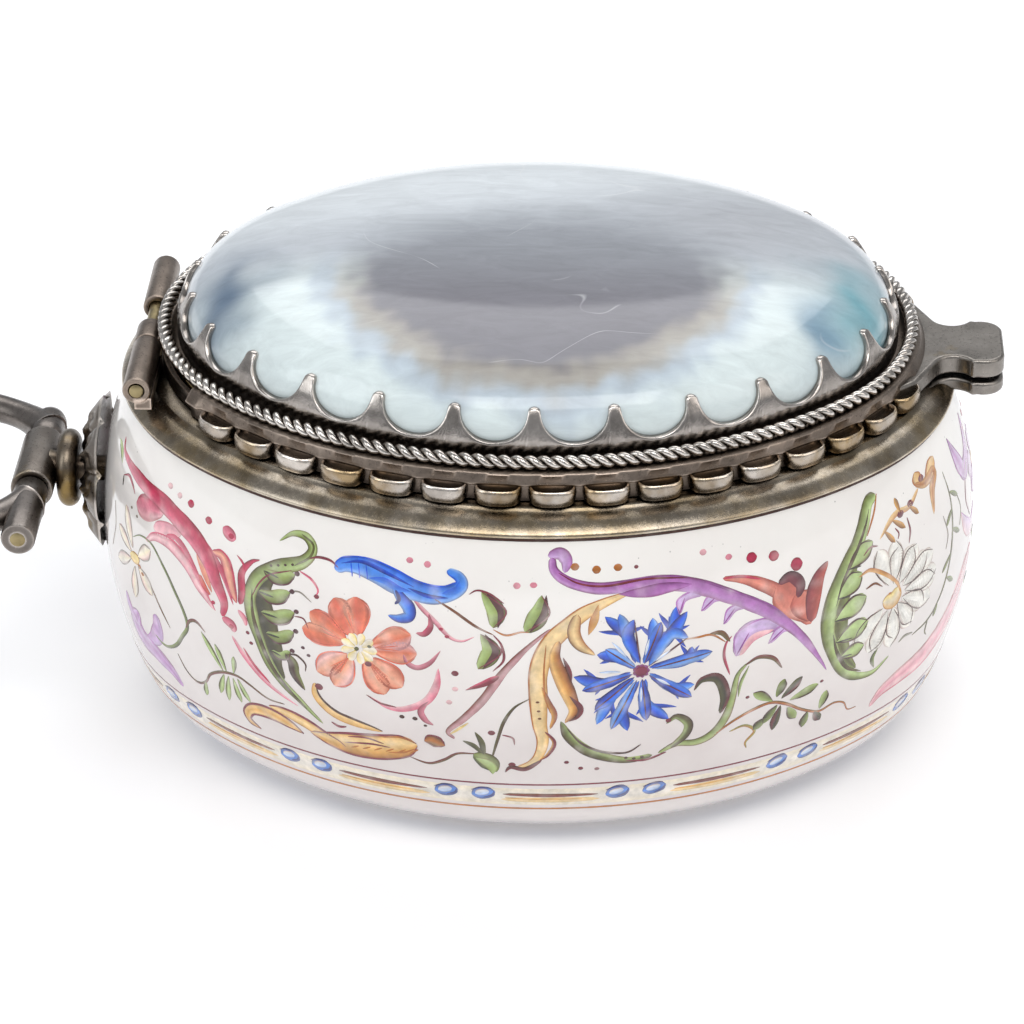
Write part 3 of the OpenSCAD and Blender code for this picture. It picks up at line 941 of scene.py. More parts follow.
def green_leaf_left(p):
    """A curled green leaf with rounded leaflets, round the coral flower."""
    spine = [(-12.6, 18.9), (-11.9, 19.5), (-11.1, 19.5), (-10.7, 18.9), (-11.2, 18.1), (-12.6, 17.4),
             (-13.6, 16.5), (-14.0, 15.3), (-13.8, 14.0), (-13.4, 12.8), (-12.9, 11.5), (-12.2, 10.4),
             (-11.2, 9.4), (-10.1, 8.2)]
    body = [(-12.7, 17.2), (-13.3, 16.3), (-13.5, 15.2), (-13.2, 14.0), (-12.8, 12.8), (-12.6, 11.6),
            (-12.1, 10.5)]
    p.brush(body, 2.0, (OLIVE, DARK_OLIVE, OLIVE), swell=0.45, ends=(0.3, 0.15), layer=1)
    for root, tip, width in (((-13.3, 17.0), (-11.5, 17.3), 0.85), ((-13.5, 15.7), (-11.7, 16.2), 0.9),
                             ((-13.3, 14.5), (-11.4, 15.1), 0.95), ((-13.0, 13.3), (-11.4, 13.9), 0.85),
                             ((-12.7, 12.3), (-11.6, 12.6), 0.6)):
        middle = ((root[0] + tip[0]) / 2, (root[1] + tip[1]) / 2 - 0.3)
        p.brush([root, middle, tip], width, (GREEN_PALE, GREEN, OLIVE), swell=0.6, ends=(0.3, 0.25), layer=3,
                rims=(DEEP_MAROON, 0.13, "r"))
        p.line([root, middle], 0.16, DARK_OLIVE, 5)
        p.dot(tip[0] + 0.1, tip[1] + 0.1, 0.16, DEEP_MAROON, 5)
    p.brush(spine, 1.0, (GREEN, GREEN_PALE, GREEN, OLIVE), swell=0.4, ends=(0.05, 0.12), layer=2)
    p.line([(-11.4, 19.6), (-10.7, 19.2), (-10.8, 18.5), (-11.6, 17.8)], 0.2, OLIVE, 5)
    p.line([(-11.7, 17.5), (-12.9, 16.9), (-13.5, 16.2), (-13.9, 15.2)], 0.14, MAROON, 5)
    p.brush([(-13.9, 15.7), (-13.8, 14.3), (-13.4, 12.9), (-12.8, 11.4), (-12.0, 10.2), (-10.9, 9.0)],
            0.42, (UMBER, OLIVE), swell=0.4, ends=(0.1, 0.3), layer=5, streaks=0.3)
    for u in (-12.9, -12.5, -12.1, -11.7):
        p.dot(u, 17.55 + 0.35 * (u + 12.5), 0.09, UMBER, 6)
    p.line([(-11.9, 16.2), (-11.2, 16.4), (-10.5, 16.0)], 0.12, GREY, 2)
    p.line([(-11.4, 14.9), (-10.9, 14.9), (-10.6, 14.4)], 0.12, MAROON, 2)
    p.line([(-11.3, 17.6), (-10.6, 17.3), (-10.2, 16.8), (-10.3, 16.4)], 0.18, ROSE, 2)
    p.line([(-11.0, 18.3), (-10.4, 18.6), (-9.7, 18.6), (-9.2, 18.3)], 0.18, MAROON, 2)
    p.dot(-10.25, 16.4, 0.16, MAROON, 3)
    p.brush([(-11.9, 12.4), (-11.5, 11.9), (-11.4, 11.2), (-10.9, 10.3)], 0.75, (GREEN, UMBER, DARK_OLIVE),
            swell=0.35, ends=(0.2, 0.1), layer=3)
    p.line([(-11.9, 12.3), (-11.3, 12.5), (-10.8, 12.1), (-10.8, 11.6)], 0.16, UMBER, 3)
    p.dots([(-10.9, 13.1), (-10.6, 12.7)], 0.12, DEEP_MAROON)


def cobalt_ribbon(p):
    """A blue ribbon that curls over, and the thin pink stem below it."""
    p.brush([(-9.4, 18.2), (-8.8, 18.6), (-7.7, 18.6), (-6.2, 18.1), (-4.8, 17.7), (-3.7, 17.8),
             (-3.0, 18.3), (-3.1, 18.8), (-3.7, 19.1)], 1.3, (COBALT, BLUE, BLUE, SKY), swell=0.4,
            ends=(0.5, 0.25), layer=2, rims=(COBALT, 0.1, "l"))
    p.brush([(-9.1, 18.6), (-8.0, 18.9), (-6.6, 18.5), (-5.3, 18.0)], 0.3, (COBALT, NAVY), layer=5)
    p.brush([(-7.6, 18.1), (-6.8, 18.1), (-6.1, 17.8), (-5.4, 17.7)], 0.5, (COBALT, BLUE), layer=4)
    p.brush([(-5.6, 17.9), (-4.6, 17.6), (-3.6, 17.6)], 0.3, (NAVY, COBALT), layer=5)
    p.brush([(-3.9, 17.8), (-3.2, 18.1), (-3.05, 18.6)], 0.5, (COBALT, BLUE), layer=4)
    for u in (-8.5, -8.1, -7.7):
        p.line([(u - 0.1, 18.8), (u, 18.3), (u + 0.05, 18.0)], 0.1, COBALT, 5)
    p.brush([(-6.3, 17.9), (-5.9, 17.3), (-5.5, 16.8), (-5.5, 16.3), (-6.0, 16.1), (-6.5, 16.2)],
            0.8, (NAVY, COBALT, BLUE, SKY), swell=0.5, ends=(0.5, 0.1), layer=3)
    p.line([(-6.2, 17.7), (-6.0, 17.2), (-6.2, 16.9)], 0.3, NAVY, 5)
    p.brush([(-5.4, 17.5), (-4.9, 16.9), (-4.2, 16.2), (-3.5, 15.4), (-2.9, 15.2), (-2.3, 15.5)],
            0.34, (PALE_PINK, PINK, MAROON), swell=0.35, ends=(0.3, 0.1), layer=1)
    p.dots([(-3.9, 15.8), (-3.6, 15.4)], 0.13, CRIMSON)
    p.brush([(-4.5, 16.6), (-4.4, 15.9), (-4.7, 15.4), (-5.1, 15.4)], 0.45, (MAROON, ROSE), swell=0.6,
            ends=(0.1, 0.15), layer=2)
    p.line([(-4.3, 17.5), (-3.3, 16.9), (-2.2, 16.1), (-1.4, 15.7)], 0.2, BROWN, 2)


def coral_flower(p):
    """Five notched coral petals round a cream and yellow heart."""
    heart = (-7.95, 13.9)
    for tip, width, inks in (((-8.75, 16.75), 2.5, (CORAL, TERRACOTTA, CORAL_PALE)),
                             ((-10.75, 14.9), 1.9, (TERRACOTTA, CORAL, CORAL_PALE)),
                             ((-5.2, 14.7), 2.2, (CORAL_PALE, CORAL, PALE_PINK)),
                             ((-6.2, 11.6), 2.4, (CORAL, CORAL_PALE, CORAL)),
                             ((-9.7, 11.5), 2.2, (PALE_PINK, CORAL_PALE, CORAL))):
        p.heart_petal(heart, tip, width, inks, rim=TERRACOTTA)
        reach = Vector(tip) - Vector(heart)
        for turn in (-0.14, 0.0, 0.14):
            vein = Vector(heart) + Matrix.Rotation(turn, 2) @ reach * 0.72
            p.line([Vector(heart) + reach * 0.3, vein], 0.1, CORAL if turn else TERRACOTTA, 4,
                   ends=(0.6, 0.1))
    for i in range(9):
        a = TAU * i / 9
        inner = (heart[0] + 0.2 * math.cos(a), heart[1] + 0.2 * math.sin(a))
        outer = (heart[0] + 0.95 * math.cos(a), heart[1] + 0.95 * math.sin(a))
        p.petal(inner, outer, 0.55, (WHITE, CREAM, YELLOW), layer=5 + i % 2)
    p.dots([(heart[0] - 0.3, heart[1] - 0.2), (heart[0] + 0.4, heart[1] - 0.6),
            (heart[0] + 0.5, heart[1] + 0.1)], 0.16, YELLOW)
    p.dot(heart[0] + 0.5, heart[1] - 0.85, 0.2, MAROON, 8)
    p.dot(heart[0] - 0.1, heart[1] - 0.05, 0.13, OLIVE, 8)
    p.dot(heart[0] + 0.55, heart[1] + 0.25, 0.12, OLIVE, 8)
    p.brush([(-7.4, 10.9), (-6.5, 10.4), (-5.6, 10.5), (-4.6, 11.2), (-4.1, 12.3), (-4.0, 13.4)],
            0.6, (PALE_PINK, PINK, ROSE), swell=0.7, ends=(0.1, 0.1), layer=1)
    p.line([(-7.6, 11.0), (-6.9, 10.6), (-6.1, 10.5)], 0.16, MAROON, 3)
    p.brush([(-4.5, 11.2), (-4.9, 10.5), (-4.7, 9.9), (-4.3, 9.6)], 0.5, (PINK, MAROON), swell=0.6,
            ends=(0.1, 0.1), layer=2)
    p.brush([(-5.7, 14.0), (-5.5, 13.5), (-5.0, 13.3), (-4.4, 13.7), (-3.9, 14.5)], 0.42, (PINK, MAROON),
            swell=0.35, ends=(0.2, 0.05), layer=2)
    p.dots([(-5.85, 9.9), (-5.2, 9.9)], 0.15, UMBER)
    p.dot(-4.7, 9.5, 0.1, UMBER)


def ochre_leaf_left(p):
    """Ochre leaves with maroon edges, along the border."""
    p.brush([(-14.1, 6.1), (-14.8, 6.6), (-14.5, 7.4), (-13.5, 7.7), (-12.4, 7.5), (-11.4, 7.0)], 0.85,
            (OCHRE_PALE, OCHRE, OCHRE_PALE), swell=0.6, ends=(0.1, 0.3), layer=2, rims=(MAROON, 0.2, "lr"))
    p.brush([(-13.2, 8.3), (-12.3, 8.2), (-11.1, 7.8), (-10.0, 7.2), (-9.0, 6.8)],
            0.8, (OCHRE, OCHRE_PALE, OCHRE), ends=(0.2, 0.4), layer=3, rims=(MAROON, 0.2, "l"))
    body = [(-10.9, 7.3), (-9.5, 7.1), (-8.0, 7.2), (-6.6, 7.5), (-5.2, 8.0)]
    p.brush(body, 1.9, (OCHRE, OCHRE_PALE, OCHRE, SIENNA), swell=0.62, ends=(0.1, 0.55), layer=4,
            rims=(MAROON, 0.2, "lr"))
    p.brush([(-10.3, 11.0), (-10.3, 10.1), (-9.5, 9.2), (-8.3, 8.8), (-6.9, 8.6)],
            0.62, (OCHRE_PALE, OCHRE), ends=(0.5, 0.2), layer=2, rims=(UMBER, 0.2, "l"))
    p.dot(-10.1, 10.8, 0.24, MAROON, 5)
    for k in range(6):
        u = -8.7 + 0.62 * k
        p.line([(u, 6.9 + 0.08 * k), (u + 0.45, 7.15 + 0.1 * k)], 0.13, SIENNA, 7)
    for route in (
        [(-8.8, 7.7), (-7.8, 7.9), (-6.9, 7.7)], [(-9.0, 7.2), (-7.6, 7.5), (-6.6, 7.5)],
        [(-6.9, 8.2), (-6.1, 8.4), (-5.4, 8.2)], [(-6.7, 7.1), (-5.9, 7.3), (-5.3, 7.7)],
        [(-9.6, 8.5), (-9.2, 8.3), (-8.8, 8.4)],
    ):
        p.line(route, 0.17, SIENNA if route[0][0] > -7 else MAROON, 7)
    p.dots([(-7.0, 7.95), (-6.4, 7.8)], 0.17, UMBER)
    p.brush([(-4.8, 8.4), (-4.4, 8.5), (-3.8, 8.2)], 0.85, (UMBER, SIENNA, OLIVE), ends=(0.4, 0.4), layer=3,
            rims=(MAROON, 0.1, "lr"))
    p.brush([(-5.6, 7.0), (-4.7, 6.7), (-3.9, 7.1), (-3.2, 7.7), (-2.3, 7.8)], 0.24, (MAROON, OLIVE),
            ends=(0.2, 0.3), layer=2)


def centre_sprig(p):
    """The small green leaves, stems and dots in the middle."""
    p.brush([(-2.4, 7.8), (-1.7, 7.2), (-1.3, 6.5)], 1.2, (OLIVE, GREEN, DARK_OLIVE), ends=(0.3, 0.1),
            layer=2)
    p.brush([(-2.3, 7.5), (-1.6, 7.0), (-1.5, 6.3)], 0.7, (GREEN_PALE, GREEN), layer=3)
    p.brush([(-1.9, 7.8), (-2.0, 8.7), (-2.3, 9.4)], 0.42, (DARK_OLIVE, OLIVE), ends=(0.5, 0.1), layer=3)
    p.brush([(-2.0, 7.9), (-2.4, 8.4), (-2.9, 8.7)], 0.36, (DARK_OLIVE, OLIVE), ends=(0.5, 0.1), layer=3)
    p.brush([(-1.5, 7.6), (-1.2, 9.0), (-0.9, 10.2), (-0.4, 11.2), (0.3, 11.8)], 0.24, (OLIVE, UMBER),
            ends=(0.5, 0.2), layer=2)
    p.line([(-1.0, 9.3), (-0.5, 9.1), (-0.4, 8.6)], 0.16, MAROON, 2)
    p.dots([(-0.55, 7.1), (-1.5, 9.4)], 0.2, MAROON)
    for tip, middle, base in (((-2.0, 18.1), (-1.3, 17.1), (-1.4, 16.1)),
                              ((0.9, 18.0), (0.75, 16.9), (0.1, 15.9)),
                              ((-2.0, 15.7), (-1.5, 14.7), (-2.1, 13.6))):
        p.brush([base, middle, tip], 1.15, (GREEN_PALE, GREEN, OLIVE), swell=0.42, ends=(0.2, 0.0), layer=2)
        dark = [(u + 0.22, z) for u, z in (base, middle, tip)]
        p.brush(dark, 0.5, (UMBER, DEEP_MAROON), swell=0.5, layer=4)
        p.line([(u + 0.5 * (1 - abs(k - 1)), z) for k, (u, z) in enumerate((base, middle, tip))], 0.11,
               MAROON, 5)
    p.line([(-2.6, 17.9), (-2.2, 18.15), (-1.6, 18.0), (-0.9, 17.5)], 0.14, MAROON, 4)
    p.line([(-1.4, 16.0), (-0.8, 15.7), (-0.1, 15.9), (0.3, 15.9)], 0.15, SIENNA, 2)
    p.line([(-1.4, 15.7), (-1.0, 15.1), (-0.9, 14.2), (-1.4, 13.5)], 0.18, MAROON, 3)
    p.brush([(1.3, 16.1), (0.6, 15.4), (-0.1, 14.6), (-1.0, 13.3), (-1.9, 11.6), (-2.8, 10.3), (-3.6, 9.3),
             (-3.3, 8.8)], 0.6, (MAROON, PALE_PINK, MAROON, BROWN), swell=0.6, ends=(0.15, 0.3), layer=3)
    p.brush([(-1.1, 13.2), (-1.8, 12.7), (-2.7, 12.2)], 0.45, (MAROON, MAROON, ROSE), swell=0.3,
            ends=(0.4, 0.0), layer=4)
    p.brush([(-2.6, 10.0), (-3.1, 9.5), (-3.5, 9.1)], 0.2, (YELLOW, CREAM_WARM), layer=6)
    p.dot(-3.2, 13.2, 0.2, MAROON)
    p.dots([(-3.2, 12.2), (-3.5, 11.3)], 0.17, PALE_PINK)
    p.dots([(-0.3, 18.5), (0.5, 18.55), (-5.6, 19.4), (-4.7, 19.3)], 0.2, PINK)


def ochre_leaf_right(p):
    """A tall ochre leaf that bends over the cornflower."""
    p.brush([(5.3, 18.0), (4.2, 17.6), (3.0, 17.0), (2.0, 16.1), (1.15, 15.0), (0.75, 13.5), (0.75, 11.9),
             (0.8, 10.2), (0.95, 8.8), (0.6, 7.5), (-0.3, 6.9)], 1.1,
            (OCHRE, OCHRE_PALE, CREAM_WARM, OCHRE_PALE), swell=0.45, ends=(0.05, 0.15), layer=2,
            rims=(SIENNA, 0.12, "r"))
    p.brush([(2.6, 16.9), (2.4, 15.9), (2.7, 15.1), (3.4, 14.5)], 0.85, (SIENNA, OCHRE_PALE, BROWN),
            swell=0.35, ends=(0.4, 0.1), layer=4)
    p.brush([(3.6, 17.4), (3.4, 16.6), (3.1, 15.7)], 0.55, (OCHRE, SIENNA), layer=4)
    p.brush([(1.7, 15.4), (1.5, 14.4), (1.8, 13.2), (2.2, 12.0), (2.4, 11.0), (2.0, 10.2)],
            0.95, (BROWN, SIENNA, OCHRE, OCHRE_PALE), swell=0.55, ends=(0.3, 0.1), layer=4)
    p.brush([(1.9, 14.4), (2.2, 13.5), (2.3, 12.9)], 0.3, (MAROON, UMBER), layer=6)
    p.brush([(2.2, 12.0), (2.7, 11.2), (2.6, 10.6), (2.2, 10.3)], 0.4, (MAROON, UMBER), layer=6)
    p.brush([(0.9, 12.6), (1.2, 11.6), (1.5, 10.7), (1.3, 9.8)], 0.42, (MAROON, OCHRE), swell=0.5,
            ends=(0.2, 0.3), layer=5)
    p.brush([(1.05, 9.6), (1.5, 8.8), (1.2, 7.9), (0.8, 7.5)], 0.3, (MAROON, MAROON, OCHRE),
            ends=(0.3, 0.3), layer=5)
    p.brush([(0.9, 7.5), (0.1, 6.8), (-0.6, 6.9), (-0.9, 6.5)], 0.42, (MAROON, UMBER), ends=(0.4, 0.1),
            layer=5)
    p.line([(1.1, 15.2), (1.0, 13.6), (1.05, 12.0), (1.3, 10.9)], 0.14, SIENNA, 6)
    p.dots([(0.7, 11.6), (0.75, 11.0), (0.8, 10.5)], 0.1, BROWN)
    p.dots([(2.1, 7.3), (2.8, 6.8), (3.6, 6.7)], 0.14, MAROON)


def cornflower(p):
    """A blue cornflower with ragged petals round a purple heart."""
    heart = Vector((5.6, 13.3))
    petals = (((3.9, 16.7), (4.6, 16.8), (5.3, 16.4)), ((6.2, 16.4), (6.6, 16.1)),
              ((7.4, 16.9), (7.9, 16.5), (7.9, 15.0)), ((8.1, 14.4), (9.1, 13.9)),
              ((8.2, 12.0), (8.1, 11.2)), ((7.0, 9.9), (5.9, 10.0)), ((5.0, 9.4), (4.2, 9.6)),
              ((3.5, 10.0), (3.4, 11.0)), ((2.4, 13.2), (2.8, 12.3)), ((3.5, 14.5), (3.9, 14.8)))
    for k, tips in enumerate(petals):
        for i, tip in enumerate(tips):
            tip = Vector(tip)
            root = heart + (tip - heart) * 0.16
            bend = heart + (Vector(tips[len(tips) // 2]) - heart) * 0.62
            inks = ((NAVY, COBALT, BLUE), (COBALT, BLUE, SKY), (BLUE, COBALT, NAVY))[(i + k) % 3]
            p.brush([root, bend, tip], 0.78, inks, swell=0.7, ends=(0.2, 0.12), layer=2 + i)
            for turn in (-0.16, 0.2):
                barb = heart + Matrix.Rotation(turn, 2) @ (tip - heart) * 0.86
                p.brush([root, bend, barb], 0.34, (COBALT, NAVY)[:: 1 if turn > 0 else -1], swell=0.75,
                        layer=1)
        tip = Vector(tips[-1])
        p.line([heart + (tip - heart) * 0.15, heart + (tip - heart) * 0.6, tip], 0.12, DEEP_MAROON, 6)
    for a in range(0, 360, 40):
        spot = (heart.x + 0.42 * math.cos(math.radians(a)), heart.y + 0.42 * math.sin(math.radians(a)))
        p.brush([heart, spot], 0.42, (VIOLET, MAROON), ends=(0.6, 0.3), layer=7)
    p.dot(heart.x, heart.y, 0.34, ink("8a2b4a"), 9)
    for u, z in ((4.2, 15.2), (6.0, 15.2), (7.0, 14.4), (7.0, 12.2), (5.6, 11.3), (3.6, 13.4)):
        p.brush([heart + (Vector((u, z)) - heart) * 0.5, (u, z)], 0.2, (WHITE, SKY), layer=8)
    p.line([(7.7, 14.9), (8.4, 14.9), (9.1, 14.9), (9.8, 14.3)], 0.16, SIENNA, 3)
    p.brush([(9.0, 15.0), (9.6, 14.9), (10.0, 14.3)], 0.35, (BROWN, OLIVE), ends=(0.1, 0.4), layer=4)


def green_stem(p):
    """Curled green stems below and beside the cornflower."""
    p.brush([(1.8, 10.3), (2.2, 9.2), (3.1, 8.1), (4.1, 7.5), (5.2, 7.2), (6.3, 7.4)],
            0.75, (GREEN_PALE, GREEN, OLIVE, UMBER), swell=0.3, ends=(0.15, 0.4), layer=2)
    p.line([(2.1, 9.8), (2.8, 8.7), (3.8, 8.0), (5.0, 7.8), (5.7, 8.3)], 0.2, UMBER, 5)
    p.line([(5.0, 7.2), (6.0, 7.1), (7.0, 7.5)], 0.2, MAROON, 5)
    p.brush([(6.6, 7.5), (7.5, 8.0), (8.5, 7.9), (9.3, 8.3), (9.9, 9.3), (10.2, 10.6), (10.4, 12.0),
             (10.9, 12.7)], 0.62, (OLIVE, GREEN, GREEN_PALE, MAROON), swell=0.4, ends=(0.3, 0.2), layer=2)
    p.brush([(7.2, 7.8), (7.9, 8.6), (8.0, 9.4), (7.4, 10.0), (6.9, 9.6)], 0.62, (GREEN_PALE, OLIVE, UMBER),
            ends=(0.4, 0.1), layer=4)
    p.dot(7.0, 9.8, 0.16, MAROON, 6)
    p.brush([(9.6, 9.7), (9.8, 10.9), (9.4, 12.1), (8.6, 12.2), (8.2, 11.6)], 0.72,
            (OLIVE, DARK_OLIVE, MAROON), swell=0.45, ends=(0.3, 0.05), layer=4)
    p.brush([(10.0, 12.2), (9.7, 13.4), (9.8, 14.2), (10.1, 14.6)], 0.22, (MAROON, ROSE), ends=(0.4, 0.2),
            layer=3)
    p.brush([(10.8, 12.6), (11.5, 12.9), (12.3, 12.6), (12.8, 11.8)], 0.32, (MAROON, OLIVE),
            ends=(0.3, 0.3), layer=3)
    p.brush([(11.0, 12.5), (10.6, 11.5), (10.5, 10.6)], 0.26, (GREEN_PALE, OLIVE), layer=4)
    for u, z in ((5.0, 7.4), (5.4, 7.3), (5.8, 7.35)):
        p.dot(u, z, 0.1, UMBER, 6)


def violet_leaf(p):
    """A long violet leaf with pale leaflets and a row of dots over it."""
    p.brush([(1.4, 20.0), (1.5, 19.3), (2.2, 18.7), (3.5, 18.3), (5.0, 18.3), (6.7, 18.3), (8.3, 17.9),
             (10.0, 17.0), (11.5, 16.0), (12.7, 14.9), (13.9, 13.4), (15.0, 11.5), (15.4, 10.7)], 0.95,
            (VIOLET, ORCHID, ORCHID, LILAC), swell=0.5, ends=(0.45, 0.05), layer=3)
    p.brush([(1.2, 20.1), (1.8, 20.2), (2.1, 19.8), (2.0, 19.2)], 0.8, (ORCHID, LILAC), ends=(0.4, 0.2),
            layer=2)
    p.brush([(4.6, 17.9), (5.8, 17.9), (7.0, 18.0), (8.2, 18.0)], 0.75, (VIOLET, ORCHID), layer=4)
    p.line([(1.7, 19.2), (2.7, 18.6), (4.0, 18.4), (6.0, 18.6), (8.0, 18.4)], 0.18, MAROON, 6)
    p.line([(8.5, 18.2), (10.4, 17.1), (12.2, 15.9), (13.4, 14.5)], 0.15, VIOLET, 6)
    for tip, bend, root, width in (
        ((7.5, 16.4), (7.8, 17.3), (9.2, 17.4), 0.55), ((8.6, 16.4), (9.3, 17.0), (10.4, 16.7), 0.6),
        ((9.7, 15.4), (10.3, 16.2), (11.3, 16.1), 0.55), ((10.3, 13.3), (11.0, 14.6), (12.9, 14.6), 1.25),
        ((12.0, 13.6), (12.9, 14.3), (13.8, 13.7), 0.6),
    ):
        p.brush([tip, bend, root], width, (LILAC, LILAC, ORCHID), swell=0.4, ends=(0.3, 0.2), layer=1,
                rims=(ORCHID, 0.12, "l"))
        p.line([tip, bend], 0.12, VIOLET, 3)
    p.brush([(10.5, 13.3), (11.2, 14.2), (12.3, 14.4)], 0.55, (PALE_PINK, PINK), ends=(0.4, 0.1), layer=3)
    p.dots([(2.5, 19.5), (3.55, 19.3), (4.6, 19.35)], 0.24, SIENNA)
    p.dot(5.5, 19.3, 0.12, MAROON)
    p.dots([(8.9, 19.6), (10.2, 19.1)], 0.2, PINK)
    p.dots([(11.4, 18.8), (12.6, 18.6)], 0.32, CRIMSON)
    p.dot(13.8, 17.8, 0.38, CRIMSON)


def terracotta_leaf(p):
    """A small brick-red leaf between the violet and the green ones."""
    p.brush([(9.8, 18.0), (10.6, 17.8), (11.5, 17.4), (12.7, 16.5), (13.7, 15.2), (14.4, 14.1)],
            1.0, (BRICK, BRICK_PALE, BRICK), swell=0.75, ends=(0.2, 0.5), layer=1)
    p.petal((14.4, 14.3), (12.6, 16.9), 1.9, (BRICK_PALE, BRICK), layer=2)
    p.petal((14.4, 14.3), (13.7, 16.2), 1.7, (BRICK, BRICK_PALE), layer=3)
    p.brush([(15.6, 17.4), (15.0, 16.7), (14.6, 15.7), (14.4, 14.2)], 1.1, (BRICK, MAROON), swell=0.6,
            ends=(0.1, 0.4), layer=4)
    p.brush([(12.7, 17.0), (13.4, 17.2), (13.9, 16.6), (13.7, 15.9)], 0.75, (DEEP_MAROON, MAROON),
            ends=(0.3, 0.3), layer=5)
    p.line([(9.8, 18.0), (10.8, 17.9), (11.8, 17.5)], 0.2, CRIMSON, 4)


def right_branch(p):
    """A thin branch with small green leaves."""
    p.brush([(9.4, 8.2), (10.3, 8.9), (11.3, 9.4), (12.3, 9.6), (13.2, 9.2), (14.2, 8.4), (15.3, 7.8),
             (16.2, 8.0), (16.9, 7.7), (17.3, 7.0), (17.9, 6.9)], 0.26, (OLIVE, SIENNA, MAROON), swell=0.3,
            ends=(0.5, 0.3), layer=2)
    p.brush([(10.2, 8.2), (11.0, 8.4), (11.6, 7.8), (11.2, 7.1), (11.3, 6.6)], 0.26, (GREEN, SIENNA),
            ends=(0.3, 0.3), layer=2)
    leaves = (((12.4, 9.7), (11.3, 10.6)), ((12.6, 9.9), (13.0, 11.0)), ((12.9, 9.7), (14.0, 10.8)),
              ((13.4, 9.4), (15.0, 9.9)), ((12.7, 9.3), (12.0, 8.2)), ((12.9, 9.2), (12.6, 7.5)),
              ((13.3, 8.9), (13.9, 7.9)), ((14.6, 8.1), (14.4, 7.0)), ((15.0, 7.9), (15.5, 7.1)),
              ((15.3, 8.0), (15.6, 9.2)), ((12.2, 8.6), (11.5, 7.9)))
    for i, (root, tip) in enumerate(leaves):
        inks = ((GREEN_PALE, GREEN, OLIVE), (GREEN, DARK_OLIVE), (OLIVE, DARK_OLIVE, MAROON))[i % 3]
        p.petal(root, tip, 0.6, inks, layer=3 + i % 2, blunt=0.15, rims=(UMBER, 0.09, "r"))
    p.dots([(15.2, 10.0), (11.0, 10.4)], 0.12, MAROON)


def green_leaf_right(p):
    """An upright green leaf with overlapping leaflets."""
    body = [(17.9, 17.9), (17.0, 16.6), (16.3, 15.2), (16.0, 13.8), (16.1, 12.4), (16.6, 11.0), (17.3, 10.0)]
    p.brush(body, 1.5, (GREEN, OLIVE, GREEN), swell=0.5, ends=(0.1, 0.1), layer=1)
    for root, tip, width in (((16.7, 16.5), (18.5, 17.5), 1.0), ((16.0, 15.0), (17.6, 16.0), 1.15),
                             ((15.8, 13.7), (17.8, 14.5), 1.2), ((15.9, 12.3), (17.9, 12.9), 1.15),
                             ((16.2, 11.2), (17.7, 11.4), 0.9)):
        p.petal(root, tip, width, (GREEN_PALE, GREEN_PALE, GREEN), layer=3, blunt=0.4,
                rims=(UMBER, 0.14, "lr"))
        p.line([root, ((root[0] + tip[0]) / 2, root[1] - 0.1)], 0.15, DARK_OLIVE, 5)
    p.brush([(19.2, 19.9), (18.6, 19.6), (18.1, 18.6), (17.4, 17.5), (16.5, 16.4), (15.7, 15.0),
             (15.4, 13.4), (15.7, 11.9), (16.4, 10.3), (17.4, 9.4), (18.6, 9.1), (19.6, 9.7)], 1.05,
            (GREEN_PALE, GREEN_PALE, GREEN, OLIVE), swell=0.4, ends=(0.6, 0.05), layer=2,
            rims=(OLIVE, 0.1, "r"))
    p.brush([(18.6, 19.3), (18.2, 18.5), (17.4, 17.3), (16.4, 15.9), (15.9, 14.6)], 0.3, (OLIVE, UMBER),
            layer=5, streaks=0.3)
    p.brush([(15.7, 12.9), (16.0, 11.6), (16.7, 10.3), (17.7, 9.6)], 0.36, (OLIVE, UMBER), layer=5,
            streaks=0.3)
    p.line([(19.3, 19.9), (18.9, 19.0), (18.2, 17.9)], 0.13, SIENNA, 5)
    p.brush([(18.6, 9.4), (18.4, 10.1), (18.7, 10.7)], 0.4, (DARK_OLIVE, GREEN), layer=4)
    p.line([(17.8, 16.9), (18.3, 17.2), (18.8, 17.1)], 0.14, MAROON, 6)


